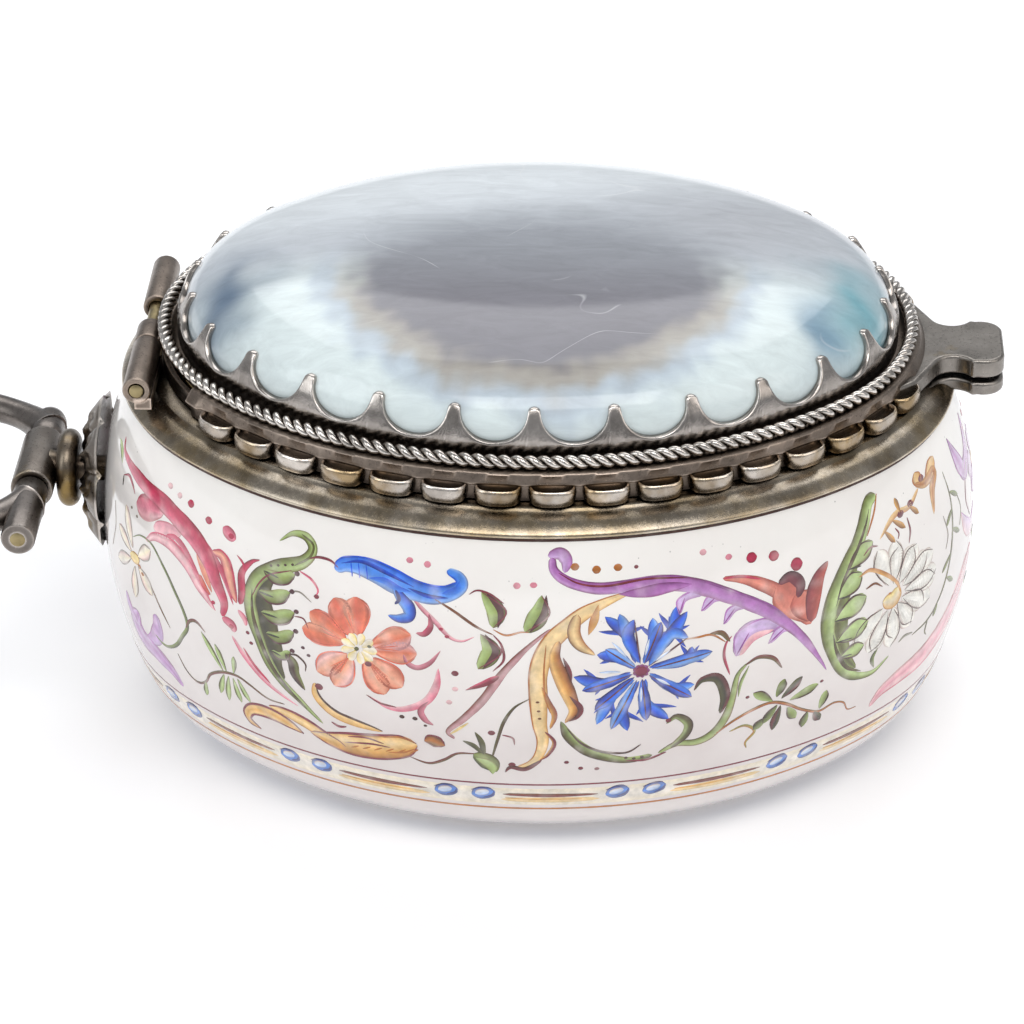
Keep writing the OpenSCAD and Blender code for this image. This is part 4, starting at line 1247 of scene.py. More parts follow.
def daisy(p):
    """Half a white daisy, with an ochre curl over it and thin stems round it."""
    heart = Vector((19.6, 13.7))
    for angle in range(-130, 95, 28):
        a = math.radians(angle)
        reach = 3.1 + 0.35 * math.cos(3 * a)
        tip = heart + Vector((0.95 * math.cos(a), math.sin(a))) * reach
        p.heart_petal(heart, tip, 2.1, (ink("d8d2c6"), ink("f6f3ec"), ink("efeade")), rim=UMBER)
    p.brush([heart - Vector((0.7, 0.1)), heart + Vector((0, -0.25)), heart + Vector((0.5, 0.3))], 1.1,
            (YELLOW, CREAM, OCHRE), ends=(0.5, 0.5), layer=5)
    p.brush([(17.4, 15.8), (18.2, 15.9), (19.2, 15.2), (19.9, 14.4), (20.1, 13.7)], 0.34, (SIENNA, OCHRE),
            ends=(0.2, 0.3), layer=6)
    p.line([(17.8, 14.9), (18.4, 15.0), (18.9, 14.6)], 0.16, BROWN, 6)
    p.dots([(19.4, 13.9), (19.8, 13.3)], 0.12, SIENNA)
    p.brush([(19.0, 17.4), (20.2, 18.3), (21.3, 18.3), (22.2, 18.9)], 0.42, (OCHRE_PALE, SIENNA),
            ends=(0.2, 0.4), layer=2)
    for root, tip in (((19.4, 17.7), (20.0, 16.8)), ((20.0, 18.1), (20.8, 17.3)),
                      ((20.6, 18.3), (20.4, 19.2)), ((21.3, 18.3), (21.9, 17.6))):
        p.petal(root, tip, 0.42, (OCHRE, BROWN), layer=2, blunt=0.1)
    p.petal((22.4, 18.9), (22.2, 19.8), 0.9, (OCHRE_PALE, OCHRE), layer=1, rims=(SIENNA, 0.1, "lr"))
    p.petal((22.8, 18.7), (24.1, 19.8), 0.9, (OCHRE_PALE, OCHRE), layer=1, rims=(SIENNA, 0.1, "lr"))
    p.brush([(22.0, 19.2), (22.8, 18.9), (23.8, 19.1), (23.3, 18.2), (23.1, 16.9)], 0.75,
            (OCHRE, SIENNA, OCHRE_PALE), ends=(0.3, 0.1), layer=2)
    p.dots([(20.6, 18.2), (21.4, 18.4), (22.6, 19.3)], 0.26, MAROON)
    p.line([(21.0, 17.8), (21.1, 17.0), (20.9, 16.3)], 0.18, MAROON, 2)
    p.line([(20.1, 17.6), (20.3, 17.2), (20.2, 16.9)], 0.14, MAROON, 2)
    p.line([(24.6, 18.6), (24.9, 16.6), (24.6, 14.2), (23.8, 12.0), (22.6, 10.6), (21.2, 10.2)], 0.24,
           OLIVE, 2)
    for u, z, lean in ((24.9, 17.2, 0.9), (24.9, 16.2, -0.8), (24.7, 15.0, 0.9), (24.4, 13.6, -0.9),
                       (24.0, 12.3, 0.8), (23.2, 11.1, -0.3)):
        p.petal((u, z), (u + lean, z - 0.7), 0.4, (GREEN, OLIVE), layer=3, blunt=0.1)
    p.line([(23.9, 16.3), (24.2, 15.0), (23.9, 14.2)], 0.13, GREY, 2)
    p.line([(21.2, 10.4), (20.6, 10.5), (20.2, 10.3)], 0.2, OLIVE, 3)
    p.line([(22.4, 10.5), (22.3, 9.8), (22.5, 9.4)], 0.16, OLIVE, 3)


def pink_ribbon(p):
    """A pale pink ribbon along the border, and lilac leaves over it."""
    p.brush([(19.0, 6.3), (19.7, 7.2), (21.0, 7.6), (22.6, 7.9), (24.2, 8.6), (26.0, 10.0), (27.8, 12.0)],
            1.9, (PALE_PINK, PINK, PALE_PINK), swell=0.6, ends=(0.15, 0.1), layer=2, rims=(ROSE, 0.16, "r"))
    p.brush([(24.6, 8.9), (25.4, 10.4), (26.8, 11.9)], 0.5, (PALE_PINK, PINK), layer=1)
    p.brush([(26.0, 19.8), (26.5, 18.4), (27.4, 17.0), (28.6, 17.8), (29.0, 19.6)], 1.3,
            (LILAC, ORCHID, LILAC), layer=2, rims=(VIOLET, 0.1, "lr"))
    p.brush([(26.0, 15.2), (26.7, 13.9), (27.9, 13.1), (29.0, 13.9)], 1.2, (LILAC, PALE_PINK), layer=1,
            rims=(ORCHID, 0.12, "l"))
    p.line([(25.6, 16.8), (26.0, 15.6), (25.7, 14.6)], 0.14, OLIVE, 2)


def left_end(p):
    """A pale flower, lilac leaves and sprigs at the left end."""
    p.brush([(-22.6, 14.8), (-21.9, 15.3), (-20.9, 15.3), (-19.9, 14.4), (-19.1, 13.4), (-18.4, 12.3),
             (-18.2, 11.4), (-18.7, 10.5), (-19.3, 9.6), (-20.2, 9.0), (-21.0, 9.3)], 0.34,
            (DARK_OLIVE, GREEN), swell=0.75, ends=(0.15, 0.3), layer=2)
    p.brush([(-18.3, 11.3), (-18.0, 11.9), (-17.5, 12.1), (-16.9, 11.7)], 0.26, (MAROON, OLIVE),
            ends=(0.5, 0.1), layer=3)
    p.brush([(-19.6, 10.6), (-20.3, 11.7), (-20.9, 12.7)], 0.16, (MAROON, OLIVE), layer=2)
    heart = Vector((-22.3, 13.6))
    for tip, width in (((-23.6, 16.2), 0.8), ((-21.0, 14.9), 0.95), ((-20.8, 12.1), 0.9),
                       ((-22.5, 10.9), 0.8), ((-24.3, 12.4), 0.8), ((-24.2, 14.6), 0.7)):
        tip = Vector(tip)
        p.petal(heart + (tip - heart) * 0.2, tip, width, (WHITE, CREAM, PALE_PINK), layer=2,
                rims=(GREY, 0.12, "lr"))
    p.brush([heart - Vector((0.5, 0)), heart, heart + Vector((0.4, 0.1))], 0.8, (YELLOW, OCHRE_PALE),
            ends=(0.5, 0.5), layer=5)
    p.dots([(-21.9, 13.3), (-21.6, 13.0)], 0.15, SIENNA)
    p.brush([(-22.4, 9.9), (-23.0, 8.9), (-22.6, 8.1), (-21.4, 7.8), (-20.3, 7.3), (-19.6, 6.4)],
            1.7, (LILAC, ORCHID, LILAC), swell=0.35, ends=(0.3, 0.15), layer=1)
    p.brush([(-20.7, 10.9), (-20.7, 9.8), (-21.2, 8.9), (-22.0, 8.4)], 1.2, (LILAC, ORCHID),
            ends=(0.4, 0.2), layer=1)
    p.brush([(-23.6, 10.6), (-23.4, 9.6), (-22.8, 8.8)], 0.8, (ORCHID, LILAC), ends=(0.4, 0.2), layer=1)
    p.line([(-22.6, 9.7), (-22.2, 8.8), (-21.2, 8.3), (-20.1, 7.5)], 0.14, ORCHID, 3)
    p.brush([(-19.3, 9.0), (-18.8, 8.0), (-18.1, 7.6), (-17.4, 8.0), (-16.9, 8.8), (-16.0, 9.4),
             (-15.0, 9.6), (-14.2, 9.3), (-13.2, 8.8), (-12.2, 8.8)], 0.24, (OLIVE, MAROON),
            ends=(0.2, 0.3), layer=2)
    for root, tip in (((-15.9, 9.5), (-17.2, 11.6)), ((-15.7, 9.6), (-16.3, 11.2)),
                      ((-15.2, 9.7), (-15.1, 10.9)), ((-15.9, 9.3), (-16.4, 7.7)),
                      ((-15.6, 9.3), (-15.9, 7.4)), ((-15.3, 9.3), (-15.0, 7.7)),
                      ((-15.0, 9.4), (-14.4, 8.0)), ((-17.4, 8.0), (-17.6, 6.9))):
        p.petal(root, tip, 0.4, (GREEN, GREEN_PALE, OLIVE), layer=3, blunt=0.1, rims=(OLIVE, 0.09, "r"))
    p.brush([(-24.4, 17.6), (-23.8, 17.9), (-23.2, 17.6), (-22.9, 17.3)], 0.24, (MAROON, CRIMSON), layer=4)
    p.line([(-24.4, 17.6), (-24.3, 17.0)], 0.14, DARK_OLIVE, 4)
    p.brush([(-26.0, 18.9), (-25.4, 18.6), (-24.9, 18.0)], 0.6, (GREEN, GREEN_PALE, OLIVE), layer=1)
    p.line([(-25.0, 15.6), (-24.7, 14.2), (-25.2, 12.6)], 0.12, GREY, 2)
    p.dots([(-23.0, 16.4), (-22.4, 16.2)], 0.1, GREY)


def end_spray(p):
    """A loose spray that fills the space below the thumb tabs."""
    p.brush([(-1.4, 6.4), (-0.7, 8.8), (0.1, 11.3), (0.1, 13.4), (-0.2, 15.2)], 0.3, (OLIVE, GREEN),
            ends=(0.4, 0.3), layer=1)
    for root, tip in (((-0.8, 8.4), (-2.7, 9.6)), ((-0.5, 9.4), (1.6, 10.1)), ((0.0, 10.9), (-2.0, 12.3)),
                      ((0.1, 12.0), (2.1, 13.1))):
        p.petal(root, tip, 0.8, (GREEN_PALE, GREEN, OLIVE), layer=2, blunt=0.1, rims=(UMBER, 0.1, "r"))
        p.line([root, ((root[0] + tip[0]) / 2, (root[1] + tip[1]) / 2)], 0.1, DARK_OLIVE, 4)
    heart = Vector((-0.2, 16.0))
    for k in range(5):
        angle = TAU * (k + 0.25) / 5
        p.heart_petal(heart, heart + Vector((math.cos(angle), math.sin(angle))) * 1.9, 1.5,
                      (LILAC, ORCHID, LILAC), rim=VIOLET)
    p.brush([heart - Vector((0.45, 0)), heart, heart + Vector((0.45, 0))], 0.8, (YELLOW, OCHRE),
            ends=(0.5, 0.5), layer=5)
    p.line([(-2.8, 14.0), (-3.4, 15.4), (-2.9, 16.8), (-2.2, 17.2)], 0.2, MAROON, 2)
    p.line([(2.3, 14.4), (3.0, 15.6), (2.7, 17.0), (2.0, 17.4)], 0.2, MAROON, 2)
    p.dots([(-1.4, 18.7), (-0.2, 18.9), (1.0, 18.7)], 0.24, CRIMSON)


def painted_decoration():
    """The border, and the scrolls and flowers on the front and again on the back."""
    border = painted_border()
    new_piece("painted_border", border, "box", PAINT, sharp=25)
    motifs = {
        "crimson_leaf": (crimson_leaf,), "green_leaves": (green_leaf_left, green_leaf_right, green_stem),
        "cobalt_ribbon": (cobalt_ribbon,), "coral_flower": (coral_flower,), "cornflower": (cornflower,),
        "ochre_leaves": (ochre_leaf_left, ochre_leaf_right), "sprigs": (centre_sprig, right_branch, left_end),
        "violet_leaf": (violet_leaf, terracotta_leaf), "daisy": (daisy, pink_ribbon),
    }
    for face, origin in (("front", 0.0), ("back", OVAL.length / 2)):
        for name, makers in motifs.items():
            p = Painting(origin)
            for maker in makers:
                maker(p)
            new_piece(f"painted_{name}_{face}", p, "box", PAINT, sharp=25)
    spray = Painting(OVAL.length / 4)
    end_spray(spray)
    new_piece("painted_end_spray", spray, "box", PAINT, sharp=25)


# ---------------------------------------------------------------------------
# The hinge of the lid
# ---------------------------------------------------------------------------

def knuckle(length, outer, bore):
    """A bored knuckle, standing on the Z axis."""
    return turned(softened([(bore, 0), (outer, 0), (outer, length), (bore, length)], 0.12), 40)


def leaf(x0, x1, y0, y1, z0, z1):
    """A small plate between two corners, for a knuckle's leaf."""
    return prism([Vector((x0, y0)), Vector((x1, y0)), Vector((x1, y1)), Vector((x0, y1))], z0, z1)


def pin(name, axis, body, radius, chamfer, face_r):
    """A pin along Y, with chamfered ends, in the place of its node on a joint's axis."""
    low, high = box_mm(name)
    length = high.y - low.y
    side = [(face_r, 0.0), (radius, chamfer), (radius, length - chamfer), (face_r, length)]
    shape = turned([(0, 0)] + side + [(0, length)], 28, closed=False)
    shape.moved(along_y(Vector((axis.x, low.y, axis.z))))
    new_piece(name + "_turned", shape, body, PIN_BRASS, [name])


def hinge_knuckle(name, body, plate):
    """A knuckle of the lid's hinge, joined to a leaf with the corners in plate."""
    low, high = box_mm(name)
    place = Vector((HINGE.x, low.y, HINGE.z))
    rolled = knuckle(high.y - low.y, KNUCKLE_R, PIN_BORE).moved(along_y(place))
    new_piece(name + "_rolled", join(rolled, leaf(*plate)), body, OXIDISED, [name])


def lid_hinge():
    """Two knuckles on the collar, one on the lid, and their pin."""
    for name in ("hinge_knuckle_near", "hinge_knuckle_far"):
        low, high = box_mm(name)
        hinge_knuckle(name, "box", (
            HINGE.x - 0.15, HINGE.x + 0.8, low.y + 0.1, high.y - 0.1, COLLAR_HIGH.z - 0.05, HINGE.z - 0.5,
        ))
    low, high = box_mm("lid_knuckle")
    hinge_knuckle("lid_knuckle", "lid", (
        HINGE.x + 0.5, high.x + 0.3, low.y + 0.05, high.y - 0.05, PLATE_LOW.z + 0.05, PLATE_HIGH.z - 0.1,
    ))
    pin("hinge_pin", HINGE, "box", 0.4, 0.06, 0.3)


# ---------------------------------------------------------------------------
# The stem and the bow
# ---------------------------------------------------------------------------

def rosette():
    """A domed foliate boss: eight broad leaves with a rib and veins, and grooves between them."""
    low, high = box_mm("rosette")
    rim_r = high.z - BOW.z
    rise = high.x - low.x
    leaves = 8
    rings, spokes = 22, 192
    shape = Shape()
    face, back = [], []
    for i in range(rings + 1):
        t = i / rings
        face_row, back_row = [], []
        for j in range(spokes):
            a = TAU * j / spokes
            across = math.cos(leaves * a)
            edge = 1 - 0.05 * (1 - across) * t ** 4
            r = rim_r * edge * t
            dome = rise * math.sqrt(max(0.0, 1 - 0.93 * t * t)) - rise * 0.26
            rib = 0.32 * max(0.0, across) ** 6 * math.sin(math.pi * min(1, t * 1.05))
            groove = -0.28 * max(0.0, -across) ** 10 * t
            vein = 0.09 * math.sin(26 * t - 5 * abs(math.sin(leaves * a / 2))) * math.sin(math.pi * t)
            place = Vector((r * math.cos(a), r * math.sin(a), dome + rib + groove + vein))
            face_row.append(place)
            back_row.append(Vector((place.x * 0.985, place.y * 0.985, max(0.02, dome - 0.4))))
        face.append(face_row)
        back.append(back_row)
    shape.grid(face + back[::-1], close_cols=True)
    new_piece("rosette_chased", shape.moved(out_of_end(high.x)), "box", STEM_SILVER, ["rosette"],
              sharp=70)


def post_collar():
    """The round bead on the stem."""
    low, high = box_mm("post_collar")
    thick = high.x - low.x
    radius = high.z - BOW.z
    bead = arc(radius - thick / 2, thick / 2, thick / 2, -90, 90, 12)
    bead = [Vector((0.7, 0))] + bead + [Vector((0.7, thick))]
    shape = turned(bead, 56).moved(out_of_end(high.x))
    new_piece("post_collar_bead", shape, "box", BEAD_GILT, ["post_collar"])


def bow_post():
    """The stem, thicker outside its bead."""
    inner_end = box_mm("bow_post")[1].x
    reach = inner_end - BOW.x
    shoulder = inner_end - box_mm("post_collar")[0].x
    post = [(0, 0), (0.75, 0.0)]
    post += [(0.75, shoulder), (1.15, shoulder + 0.02)]
    post += [(0.95, reach - 1.2), (1.05, reach - 0.75), (0.9, reach - 0.6), (0, reach - 0.6)]
    shape = turned(post, 40, closed=False).moved(out_of_end(inner_end))
    new_piece("bow_post_turned", shape, "box", BEAD_GILT, ["bow_post"])


def post_fixing():
    """The washer inside the bowl, and the stem's end riveted over it."""
    low, high = box_mm("post_washer")
    thick = high.x - low.x
    radius = high.z - BOW.z
    washer = softened([(0.76, 0), (radius, 0), (radius, thick), (0.76, thick)], 0.1)
    shape = turned(washer, 40).moved(out_of_end(high.x))
    new_piece("post_washer_stamped", shape, "box", PIN_BRASS, ["post_washer"])
    low, high = box_mm("post_rivet")
    head = high.x - low.x
    radius = high.z - BOW.z
    rivet = [(0, 0), (radius, 0)] + [(radius * math.cos(a), -head * math.sin(a)) for a in (0.4, 0.8, 1.2)]
    rivet.append((0, -head))
    shape = turned(rivet, 32, closed=False).moved(out_of_end(low.x))
    new_piece("post_rivet_peened", shape, "box", PIN_BRASS, ["post_rivet"])


def bow_barrel():
    """The knuckle at the end of the stem, which the bow swings on."""
    low, high = box_mm("bow_barrel")
    shape = knuckle(high.y - low.y, high.z - BOW.z, BOW_BORE)
    shape.moved(along_y(Vector((BOW.x, low.y, BOW.z))))
    new_piece("bow_barrel_bored", shape, "box", STEM_SILVER, ["bow_barrel"])


def bow_knuckle(name, closed_end):
    """A knuckle of the bow: a bored cylinder, rounded over where it is closed."""
    low, high = box_mm(name)
    length = high.y - low.y
    radius = high.z - BOW.z
    swell = 0.1 * radius
    outer = [(radius, 0.08), (radius + swell * 0.4, length * 0.3), (radius, length * 0.6)]
    if closed_end:
        outer += [(radius, length - radius * 0.7), (radius * 0.86, length - radius * 0.3),
                  (radius * 0.55, length - 0.04)]
    else:
        outer += [(radius, length - 0.14), (radius - 0.06, length - 0.02)]
    tight_bore = 0.445
    profile = [(tight_bore, 0.0), (radius - 0.08, 0.0)] + outer + [(tight_bore, length)]
    shape = turned(profile, 44)
    if not closed_end:
        shape.moved(Matrix.Translation((0, 0, length)) @ Matrix.Diagonal((1, 1, -1, 1)))
    shape.moved(along_y(Vector((BOW.x, low.y, BOW.z))))
    new_piece(name + "_worked", shape, "bow", BOW_SILVER, [name])


def bow():
    """The round bow: a forged wire that thickens towards its two knuckles, and its pin."""
    low, high = box_mm("bow_ring")
    half_wire = (high.z - low.z) / 2
    ring_r = (high.y - low.y) / 2 - half_wire
    centre_x = low.x + half_wire + ring_r
    meet = math.acos((BOW.x - centre_x) / ring_r)
    steps = 120
    path, radii = [], []
    for i in range(steps + 1):
        t = i / steps
        a = meet - 0.02 + (TAU - 2 * meet + 0.04) * t
        path.append(Vector((centre_x + ring_r * math.cos(a), -ring_r * math.sin(a), BOW.z)))
        to_end = min(t, 1 - t)
        swell = 0.28 * math.exp(-to_end * 34)
        neck = 0.1 * math.exp(-((to_end - 0.08) / 0.05) ** 2)
        radii.append(half_wire * (1 + swell - neck))
    shape = tube(path, radii, 20, flat=0.92)
    new_piece("bow_ring_forged", shape, "bow", BOW_SILVER, ["bow_ring"])
    bow_knuckle("bow_knuckle_near", False)
    bow_knuckle("bow_knuckle_far", True)
    pin("bow_pin", BOW, "bow", 0.44, 0.05, 0.36)


# ---------------------------------------------------------------------------
# The lid
# ---------------------------------------------------------------------------

PITCH = OVAL.length / LOBES
HINGE_GAP = 9.1
HINGE_CUT = 8.15
TAB_GAP = 5.6


def lobe_fits(u):
    """Whether a lobe stands at u, or the hinge or the thumb tab has its place."""
    x, y = OVAL.at(u)[:2]
    return abs(y) > (HINGE_GAP if x < 0 else TAB_GAP)


def hinge_near(u):
    """Whether the lid is cut back for the hinge's knuckles at u."""
    x, y = OVAL.at(u)[:2]
    return x < 0 and abs(y) < HINGE_CUT


def lid_plate():
    """The lid's flat ring, whose edge is scooped out behind each lobe."""
    low, high = PLATE_LOW.z, PLATE_HIGH.z
    rows = []
    for u in round_lengths(12 * LOBES):
        across = abs((u / PITCH) % 1 - 0.5) * 2
        beside_lobe = lobe_fits((math.floor(u / PITCH) + 0.5) * PITCH)
        edge = 0.66 - 0.16 * (1 - across ** 2) if beside_lobe else 0.88
        if hinge_near(u):
            edge = min(edge, abs(HINGE.x + 1.15) - PLAN_A)
        top = min(0.42, edge - 0.08)
        profile = [
            (-3.5, low), (edge - 0.04, low), (edge, low + 0.06), (edge, low + 0.12),
            (edge - 0.05, low + 0.2), (top + 0.12, high - 0.12), (top, high), (-3.5, high),
        ]
        rows.append([OVAL.point(u, off, z) for off, z in profile])
    shape = Shape()
    shape.grid(rows, close_rows=True, close_cols=True)
    new_piece("lid_plate_scooped", shape, "lid", OXIDISED, ["lid_plate"])


def lobe_cup():
    """One lobe of the border about the Z axis: a squarish cup with a thin rim and a bellied side."""
    low, high = BORDER_LOW.z, BORDER_HIGH.z
    side = [
        (0, low + 0.1), (0.95, low + 0.1), (1.06, low + 0.02), (1.12, low + 0.12), (1.17, low + 0.36),
        (1.19, low + 0.58), (1.17, low + 0.78), (1.12, high + 0.02), (1.06, high + 0.05), (1.0, high + 0.01),
        (0.93, high - 0.14), (0.75, high - 0.25), (0.4, high - 0.3), (0, high - 0.3),
    ]
    cup = turned(side, 40, closed=False)
    square = 2.8
    for p in cup.points:
        reach = math.hypot(p.x, p.y)
        if reach > 0:
            fuller = (abs(p.x / reach) ** square + abs(p.y / reach) ** square) ** (-1 / square)
            p.x *= fuller
            p.y *= fuller
    return cup


def border_band():
    """The plain band behind the lobes, cut back at the hinge."""
    low, high = BORDER_LOW.z, BORDER_HIGH.z
    rows = []
    for u in round_lengths(SWEEP_STEPS):
        outer = 0.2 if hinge_near(u) else 0.5
        inner = min(0.1, outer - 0.3)
        corners = ((inner, low), (outer, low), (outer, high), (inner, high))
        rows.append([OVAL.point(u, off, z) for off, z in corners])
    band = Shape()
    band.grid(rows, close_rows=True, close_cols=True)
    new_piece("scalloped_border_band", band, "lid", OXIDISED, ["scalloped_border"], sharp=60)


def border_cups():
    """The row of lobes, each a little wider than deep."""
    out = 0.42
    cups = []
    for i in range(LOBES):
        u = (i + 0.5) * PITCH
        if not lobe_fits(u):
            continue
        x, y, nx, ny = OVAL.at(u)
        turn = Matrix.Rotation(math.atan2(ny, nx), 4, "Z")
        shaped = turn @ Matrix.Diagonal((0.86, 1.11, 1, 1))
        cups.append(lobe_cup().moved(Matrix.Translation((x + out * nx, y + out * ny, 0)) @ shaped))
    new_piece("scalloped_border_cups", join(*cups), "lid", LOBE_SILVER, sharp=60)


def rope_wire():
    """Two round wires twisted together."""
    steps = ROPE_TURNS * 12
    strand_r = ROPE_D / 4 + 0.005
    strands = []
    for phase in (0, math.pi):
        path = []
        for i, u in enumerate(round_lengths(steps)):
            a = phase - TAU * ROPE_TURNS * i / steps
            path.append(OVAL.point(u, strand_r * 0.96 * math.cos(a), ROPE_Z + strand_r * 0.96 * math.sin(a)))
        strands.append(tube(path, strand_r, 9, closed=True))
    new_piece("rope_wire_twisted", join(*strands), "lid", ROPE_SILVER, ["rope_wire"])


STONE_EDGE_Z = ROPE_Z + 0.5
STONE_CROWN = STONE_HIGH.z - STONE_EDGE_Z
STONE_POWER = 2.45


def stone_height(off):
    """The stone's height at an offset, a rounded-off ellipse that ends at the middle line."""
    out = max(0.0, (off + OVAL.end_r) / (STONE_OFF + OVAL.end_r))
    return STONE_EDGE_Z + STONE_CROWN * (1 - min(1.0, out) ** STONE_POWER) ** (1 / STONE_POWER)


def stone_face(z):
    """The offset of the stone's side at a height."""
    rise = max(0.0, (z - STONE_EDGE_Z) / STONE_CROWN)
    return (STONE_OFF + OVAL.end_r) * (1 - rise ** STONE_POWER) ** (1 / STONE_POWER) - OVAL.end_r


def bump_at(x, y, cx, cy, rx, ry):
    """A soft round spot: 1 at its centre and 0 well outside it."""
    return math.exp(-(((x - cx) / rx) ** 2 + ((y - cy) / ry) ** 2))


def ease(low, high, value):
    """0 below low and 1 above high, with a soft change between them."""
    t = min(1.0, max(0.0, (value - low) / (high - low)))
    return t * t * (3 - 2 * t)


def stone_tint(x, y):
    """The stone's clouds: a grey heart, a tan ring before it, a pale green front, teal ends, and painted
    sheen towards the back left.
    """
    ragged = 0.06 * noise.noise(Vector((x * 0.25, y * 0.25, 3.0))) + 0.05 * noise.noise(Vector((x, y, 5.0)))
    across, along = (x - 0.3) / 12.2, (y + 3.2) / (11.8 if y < -3.2 else 7.6)
    out = math.hypot(across, along) + ragged
    # The milky ground grows paler towards the back and left: painted sheen.
    milk_with_sheen = blend((0.50, 0.53, 0.57), (0.72, 0.76, 0.79), ease(1, 10, y - 0.25 * x))
    milk_with_sheen = blend(milk_with_sheen, (0.42, 0.43, 0.46), 0.7 * bump_at(x, y, 11, 3, 6, 5))
    outside = blend((0.68, 0.76, 0.76), milk_with_sheen, ease(-6.5, -0.5, y))
    heart = blend((0.20, 0.195, 0.22), (0.30, 0.315, 0.345), ease(-9, 1, y))
    ring = blend((0.40, 0.375, 0.335), outside, ease(-8, -1, y))
    soft = ease(-5, 3, y)
    colour = blend(heart, ring, ease(0.77 - 0.4 * soft, 0.92 + 0.3 * soft, out))
    colour = blend(colour, outside, ease(0.91, 1.03 + 0.3 * soft, out))
    halo = math.exp(-(((out - 1.0) / 0.06) ** 2)) * ease(0, -6, y)
    colour = blend(colour, (0.33, 0.40, 0.52), 0.5 * halo)
    x += 1.6 * noise.noise(Vector((x * 0.4, y * 0.4, 11.0)))
    y += 1.6 * noise.noise(Vector((x * 0.4, y * 0.4, 17.0)))
    colour = blend(colour, (0.12, 0.17, 0.24), bump_at(x, y, -17.4, -4.6, 2.0, 3.8))
    colour = blend(colour, (0.16, 0.27, 0.38), 0.9 * bump_at(x, y, 16.2, -6.8, 1.8, 2.2))
    colour = blend(colour, (0.18, 0.38, 0.44), bump_at(x, y, 18.4, -3.6, 2.0, 3.6))
    return colour


def cabochon():
    """The domed stone, each of whose points carries the tint of its cloud."""
    rings, spokes = 72, 288
    deepest = 0.5 - OVAL.end_r
    lengths = round_lengths(spokes)
    bottom = [OVAL.point(u, STONE_OFF, STONE_LOW.z) for u in lengths]
    rows = [[Vector((0, 0, STONE_LOW.z))] * spokes, bottom]
    for i in range(rings + 1):
        off = STONE_OFF + (deepest - STONE_OFF) * (1 - math.cos(math.pi / 2 * i / rings))
        rows.append([OVAL.point(u, off, stone_height(off)) for u in lengths])
    for scale in (0.75, 0.5, 0.25, 0):
        rows.append([Vector((p.x * scale, p.y * scale, STONE_HIGH.z)) for p in rows[rings + 2]])
    colours = [[stone_tint(p.x, p.y) for p in row] for row in rows]
    shape = Shape()
    shape.grid(rows, close_cols=True, colours=colours)
    new_piece("cabochon_polished", shape, "lid", PEARL, ["cabochon"])


def claw_collet():
    """The stone's setting: a low wall, cut into arches whose claws lean on to the stone."""
    base = PLATE_HIGH.z
    pitch = OVAL.length / CLAWS
    tip_half = 0.33
    scoop_r = pitch / 2 - tip_half
    scoop_z = CLAW_TOP + 0.1
    deepest = ROPE_Z + 0.68
    columns = []
    for i in range(CLAWS):
        middle = i * pitch + CLAW_SHIFT
        columns += [(middle + t * tip_half, CLAW_TOP - 0.1 * t * t) for t in (-0.85, -0.45, 0, 0.45, 0.85)]
        for k in range(19):
            a = 0.1 + (math.pi - 0.2) * k / 18
            drop = (scoop_z - deepest) * math.sin(a) ** 0.9
            columns.append((middle + pitch / 2 - scoop_r * math.cos(a), scoop_z - drop))
    rows = []
    for u, top in columns:
        inner, outer = [], []
        for k in range(9):
            z = base + (top - 0.06 - base) * k / 8
            rise = (z - base) / (CLAW_TOP - base)
            face = stone_face(z) + 0.03
            thick = 0.42 - 0.14 * rise
            inner.append((face, z))
            outer.append((max(face + thick, -0.75 - 1.3 * max(0, rise - 0.42)), z))
        crest_off = (inner[-1][0] + outer[-1][0]) / 2
        rim = [(outer[-1][0] - 0.05, top - 0.015), (crest_off, top), (inner[-1][0] + 0.05, top - 0.015)]
        rows.append([OVAL.point(u, off, z) for off, z in outer + rim + inner[::-1]])
    shape = Shape()
    shape.grid(rows, close_rows=True, close_cols=True)
    new_piece("claw_collet_cut", shape, "lid", CLAW_SILVER, ["claw_collet"], sharp=60)


def lid_inside():
    """The gilt lining under the lid, and the cement that beds the stone."""
    edge = LINING_HIGH.x - PLAN_A
    low, high = LINING_LOW.z, LINING_HIGH.z
    profile = [(edge - 5.5, low + 0.12), (edge - 1.2, low + 0.1), (edge - 0.9, low), (edge - 0.12, low)]
    profile += [(edge, low + 0.12), (edge, high)]
    new_piece("lid_lining_gilt", oval_disc(profile), "lid", GILT, ["lid_lining"])
    low, high = box_mm("stone_bed")
    step = PLATE_HIGH.z
    profile = [(-3.5, low.z), (-3.5, step - 0.02), (STONE_OFF - 0.05, step), (STONE_OFF - 0.05, high.z)]
    new_piece("stone_bed_packed", oval_disc(profile), "lid", CEMENT, ["stone_bed"])


# ---------------------------------------------------------------------------
# Room, light and camera
# ---------------------------------------------------------------------------

def floor():
    """A pale sheet of paper under the box."""
    half = 1.2
    mesh = bpy.data.meshes.new("floor")
    corners = [(-half, -half, 0), (half, -half, 0), (half, half, 0), (-half, half, 0)]
    mesh.from_pydata(corners, [], [(0, 1, 2, 3)])
    mesh.materials.append(floor_paper())
    sheet = bpy.data.objects.new("floor", mesh)
    bpy.context.scene.collection.objects.link(sheet)


def soft_light(name, place, target, width, height, power, colour):
    """A large soft box at a place, aimed at a target. All in metres."""
    data = bpy.data.lights.new(name, "AREA")
    data.shape = "RECTANGLE"
    data.size = width
    data.size_y = height
    data.energy = power
    data.color = colour
    lamp = bpy.data.objects.new(name, data)
    lamp.location = place
    lamp.rotation_euler = (Vector(target) - Vector(place)).to_track_quat("-Z", "Y").to_euler()
    bpy.context.scene.collection.objects.link(lamp)


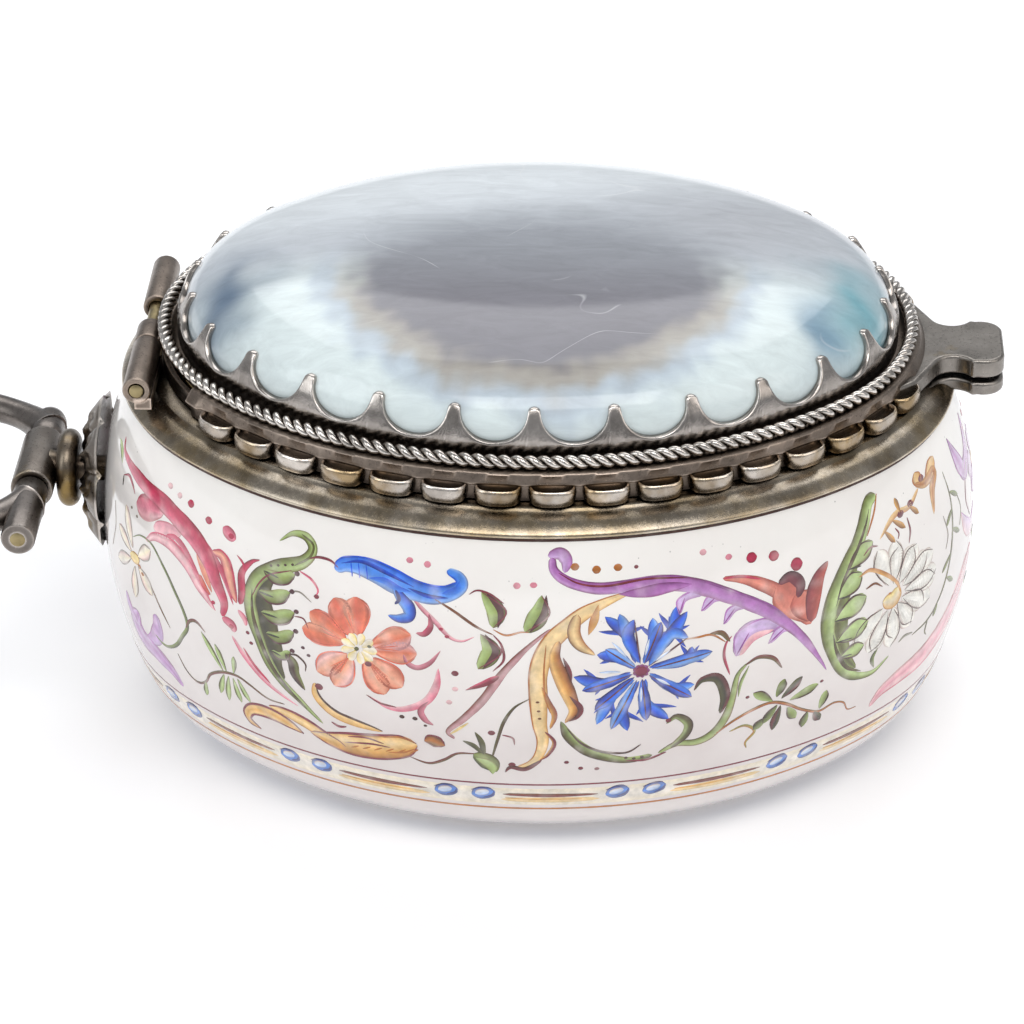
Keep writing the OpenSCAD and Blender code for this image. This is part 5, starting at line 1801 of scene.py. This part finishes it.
def studio():
    """Four soft boxes round the box, and a pale world."""
    centre = (0, 0, 0.02)
    soft_light("front box", (0.06, -0.36, 0.66), centre, 0.55, 0.3, 2.1, (1.0, 0.99, 0.98))
    soft_light("back box", (0.0, 0.42, 0.60), centre, 0.7, 0.4, 2.0, (0.98, 0.99, 1.0))
    soft_light("left box", (-0.55, -0.30, 0.42), centre, 0.35, 0.5, 1.1, (0.95, 0.98, 1.0))
    soft_light("right box", (0.55, -0.28, 0.42), centre, 0.35, 0.5, 0.72, (1.0, 0.95, 0.90))
    world = bpy.data.worlds.new("studio")
    world.use_nodes = True
    sky = world.node_tree.nodes["Background"]
    sky.inputs["Color"].default_value = (0.93, 0.96, 1.0, 1)
    sky.inputs["Strength"].default_value = 0.45
    bpy.context.scene.world = world
    bpy.context.scene.view_settings.view_transform = "Standard"


def camera():
    """The camera, a little above the box and just right of its middle."""
    azimuth, elevation = math.radians(2.2), math.radians(27)
    distance = 0.258
    lens = 157.3
    aim_right, aim_down = math.radians(0.328), math.radians(2.482)
    focus = Vector((0, 0, ROPE_Z * MM))
    away = Vector((math.sin(azimuth) * math.cos(elevation), -math.cos(azimuth) * math.cos(elevation),
                   math.sin(elevation)))
    data = bpy.data.cameras.new("camera")
    data.sensor_width = 36
    data.lens = lens
    data.clip_start = 0.01
    eye = bpy.data.objects.new("camera", data)
    turn = Matrix.Rotation(azimuth, 4, "Z") @ Matrix.Rotation(math.pi / 2 - elevation, 4, "X")
    aim = Matrix.Rotation(aim_right, 4, "Y") @ Matrix.Rotation(-aim_down, 4, "X")
    eye.matrix_world = Matrix.Translation(focus + distance * away) @ turn @ aim
    bpy.context.scene.collection.objects.link(eye)
    bpy.context.scene.camera = eye


camera()
studio()
floor()
enamel_bowl()
painted_decoration()
rim_mount()
inner_bezel()
thumb_tabs()
lid_hinge()
rosette()
post_collar()
bow_post()
post_fixing()
bow_barrel()
bow()
lid_plate()
border_band()
border_cups()
rope_wire()
cabochon()
claw_collet()
lid_inside()
